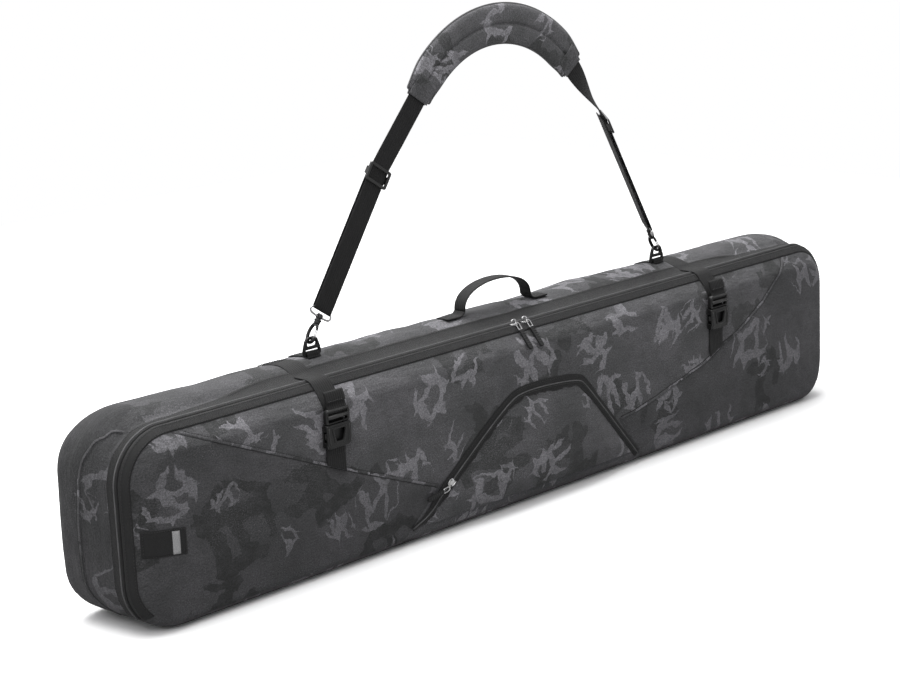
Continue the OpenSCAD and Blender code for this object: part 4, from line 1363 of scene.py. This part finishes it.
# rings, snap hooks and wire loops of the shoulder strap
for side in ("left", "right"):
    lo, hi = lo_hi(side + "_ring")
    here = at((lo.x + hi.x) / 2, HW_Y, lo.z + 2.5)
    outer = mirrored([(16.5, -2.6), (18, 0.5), (17.6, 8.5), (12.6, 22.5), (8, 27.4)])
    hole = mirrored([(8, 12.6), (9.8, 15.5), (8.2, 20.5), (5, 22.5)])
    loops = [fillet(outer, 3), rect(-13.4, 2.4, 13.4, 7.4), fillet(hole, 2.5)]
    ring = plate("ring_" + side, loops, -2.6, 2.6, 1.5, PLASTIC, here)
    fit(ring, "ring_" + side, "black_plastic", side + "_ring")
    lean = math.radians(LEGS[side][0])
    here = at((lo.x + hi.x) / 2, HW_Y, hi.z - 2.5) @ Matrix.Rotation(lean, 4, "Y")
    bow = [(0, y, z) for y, z in ((-7.3, 1.2), (-7.4, -1.6), (-5.6, -5.2), (-1.8, -7.5), (2.6, -7.4), (6.6, -4.4),
                                  (8.6, 1), (9.4, 8), (8.6, 15), (6.0, 21), (2.2, 25), (0, 28))]
    horn = [(0, y, z) for y, z in ((0, 26), (-3.4, 22.5), (-5.3, 17), (-5.4, 14))]
    parts = [rod("bow", rounded(bow), 2.7, PLASTIC, here, flat=1.15, step=1.2),
             rod("horn", rounded(horn), 2.2, PLASTIC, here, step=1.2),
             rod("barrel", [(0, 0, 23.5), (0, 0, 30.2)], 5.0, PLASTIC, here, sides=20),
             rod("collar", [(0, 0, 28.4), (0, 0, 30.8)], 5.8, PLASTIC, here, sides=20),
             rod("knob", [(0, -7.3, 0.2), (0, -7.4, 2.6)], 3.0, PLASTIC, here)]
    fit(join("hook_" + side, parts), "hook_" + side, "black_plastic", side + "_hook")
    wires = [(-1.5, -5.3, 15.8), (-1.5, -7.2, 3.4), (-0.8, -7.5, 1.6)]
    wires += [(-x, y, z) for x, y, z in wires[::-1]]
    gate = rod("gate_" + side, rounded(wires), 0.8, NICKEL, here, step=1.0)
    fit(gate, "gate_" + side, "nickel", side + "_hook_gate")
    here = here @ Matrix.Rotation(math.radians(LEGS[side][1]), 4, "Z")
    w = WEB_W / 2
    right = [(w - 6, 35.6), (w + 2, 36.8), (w + 4.6, 41), (w + 3, 45.5), (w - 4, 47.6)]
    loop = [(-x, 0, z) for x, z in right[3::-1]] + [(0, 0, 35.0)] + [(x, 0, z) for x, z in right]
    loop.append((4 - w, 0, 47.6))
    wire = rod("wire_loop_" + side, closed_path(loop), 1.75, NICKEL, here, closed=True)
    fit(wire, "shoulder_strap", "nickel", side + "_wire_loop")
    soften(side + "_swivel_eye", PLASTIC, 0.4)
    soften(side + "_adjuster", PLASTIC, 0.7)
    for arm in "ab":
        soften(side + "_buckle_arm_" + arm, PLASTIC, 0.5)


def slider(name, body, node, place):
    """Zip slider: shaped body, two cheeks and a bridge for the pull. Its length is along X, its outside along Z."""
    lie = place @ Matrix.Rotation(math.pi / 2, 4, "X")
    half = [(-7.5, -3.4), (-2, -5.6), (5, -5.4), (7.5, -3)]
    shape = half + [(x, -y) for x, y in half[::-1]]
    bridge = [(-5.4, 0, 3.2), (-5, 0, 6.0), (-1, 0, 7.4), (4, 0, 6.6), (5.6, 0, 3.4)]
    parts = [plate("base", [fillet(shape, 2)], -2.6, 0.2, 0.7, NICKEL, lie),
             plate("deck", [fillet([(p[0] * 0.8, p[1] * 0.72) for p in shape], 1.5)], -4.0, -2.4, 0.6, NICKEL, lie),
             rod("bridge", rounded(bridge), 1.15, NICKEL, place, step=0.8)]
    return fit(join(name, parts), body, "nickel", node)


def pull(name, body, node, place, length, width):
    """Zip pull hanging along -Z: metal frame, then a moulded grip with ribs."""
    w = width / 2
    frame_loop = mirrored([(w * 0.62, 1.2), (w, -3), (w, -14.5)])
    gap = mirrored([(w * 0.4, -1.6), (w * 0.62, -4), (w * 0.62, -12)])
    grip = mirrored([(w - 1.4, -13), (w - 0.4, -17), (w - 0.2, -length + 3), (w - 2.6, -length)])
    parts = [plate("frame", [fillet(frame_loop, 2), fillet(gap, 1.2)], -0.9, 0.9, 0.5, NICKEL, place),
             plate("grip", [fillet(grip, 2)], -1.7, 1.7, 0.8, RUBBER, place)]
    for k in range(6):
        z = -21 - k * 4.2
        parts += [rod("rib", [(1.4 - w, y, z), (w - 1.4, y, z)], 0.55, RUBBER, place, sides=6) for y in (-1.7, 1.7)]
    return fit(join(name, parts), body, "pull_rubber", node)


bevel_a = math.atan2(SEAT_Y - FRONT_Y, BEVEL)
for side in ("left", "right"):
    lo, hi = lo_hi("zip_slider_" + side)
    x = (lo.x + hi.x) / 2
    slider("slider_" + side, "slider_" + side, "zip_slider_" + side, at(x, (lo.y + hi.y) / 2, lo.z))
    pull("pull_" + side, "pull_" + side, "zip_pull_" + side,
         at(x, -63.4, lo.z + 2.8) @ Matrix.Rotation(-bevel_a, 4, "X"), 52, 9.4)
start, along = Vector(POCKET[1]), Vector(POCKET[2]) - Vector(POCKET[1])
along.normalize()
spot = start + 20 * along + 11 * Vector((along.y, -along.x))
tilt = Matrix.Rotation(-math.atan2(along.y, along.x), 4, "Y")
slider("pocket_slider_body", "pocket_slider", "pocket_slider",
       at(spot.x, FRONT_Y - 3.4, spot.y) @ tilt @ Matrix.Rotation(math.pi / 2, 4, "X"))
hinge = spot - 10 * along
pull("pocket_pull_grip", "pocket_pull", "pocket_pull",
     at(hinge.x, FRONT_Y - 7.2, hinge.y) @ Matrix.Rotation(math.radians(80), 4, "Y"), 50, 8.6)

# ---------------------------------------------------------------- floor and light

floor_mesh = bpy.data.meshes.new("floor")
bm = bmesh.new()
for x, y in ((-3.4, -3.4), (2.9, -3.4), (2.9, 2.9), (-3.4, 2.9)):
    bm.verts.new((x, y, 0))
bm.faces.new(bm.verts)
bm.to_mesh(floor_mesh)
bm.free()
floor = bpy.data.objects.new("floor", floor_mesh)
floor.location.z = -0.0006
scene.collection.objects.link(floor)
paper = Shader("paper", **{"Roughness": 0.7, "Specular IOR Level": 0.2})
fibre = paper.noise(paper.place(), 6, 3, 0.6)
paper.set(paper.bsdf, {"Base Color": paper.blend(paper.add("LightPath"), grey(0.42), paper.blend(
    fibre, grey(0.94), grey(0.97)))})
floor_mesh.materials.append(paper.mat)

world = bpy.data.worlds.new("studio")
world.use_nodes = True
sky = world.node_tree
background = sky.nodes["Background"]
direction = sky.nodes.new("ShaderNodeTexCoord")
split = sky.nodes.new("ShaderNodeSeparateXYZ")
sky.links.new(direction.outputs["Generated"], split.inputs[0])
height = sky.nodes.new("ShaderNodeMapRange")
for socket, value in zip(height.inputs[1:5], (-0.05, 0.9, 0.34, 1.05)):
    socket.default_value = value
sky.links.new(split.outputs[2], height.inputs[0])
seen = sky.nodes.new("ShaderNodeLightPath")
level_mix = sky.nodes.new("ShaderNodeMix")
level_mix.inputs[3].default_value = 1.0
sky.links.new(seen.outputs["Is Camera Ray"], level_mix.inputs[0])
sky.links.new(height.outputs[0], level_mix.inputs[2])
sky.links.new(level_mix.outputs[0], background.inputs[1])
background.inputs[0].default_value = (1, 1, 1.01, 1)
scene.world = world


def area_light(name, place, aim, size, power, size_y=None):
    data = bpy.data.lights.new(name, "AREA")
    data.shape = "RECTANGLE"
    data.size, data.size_y = size, size_y or size
    data.energy = power
    lamp = bpy.data.objects.new(name, data)
    lamp.location = place
    lamp.rotation_euler = (Vector(aim) - Vector(place)).to_track_quat("-Z", "Y").to_euler()
    scene.collection.objects.link(lamp)


area_light("top_softbox", (-0.2, 0.6, 3.0), (0, 0, 0.1), 4.0, 190, 2.4)
area_light("key_softbox", (-2.6, -1.6, 2.6), (-0.2, 0, 0.2), 1.6, 22)
scene.view_settings.view_transform = "Standard"
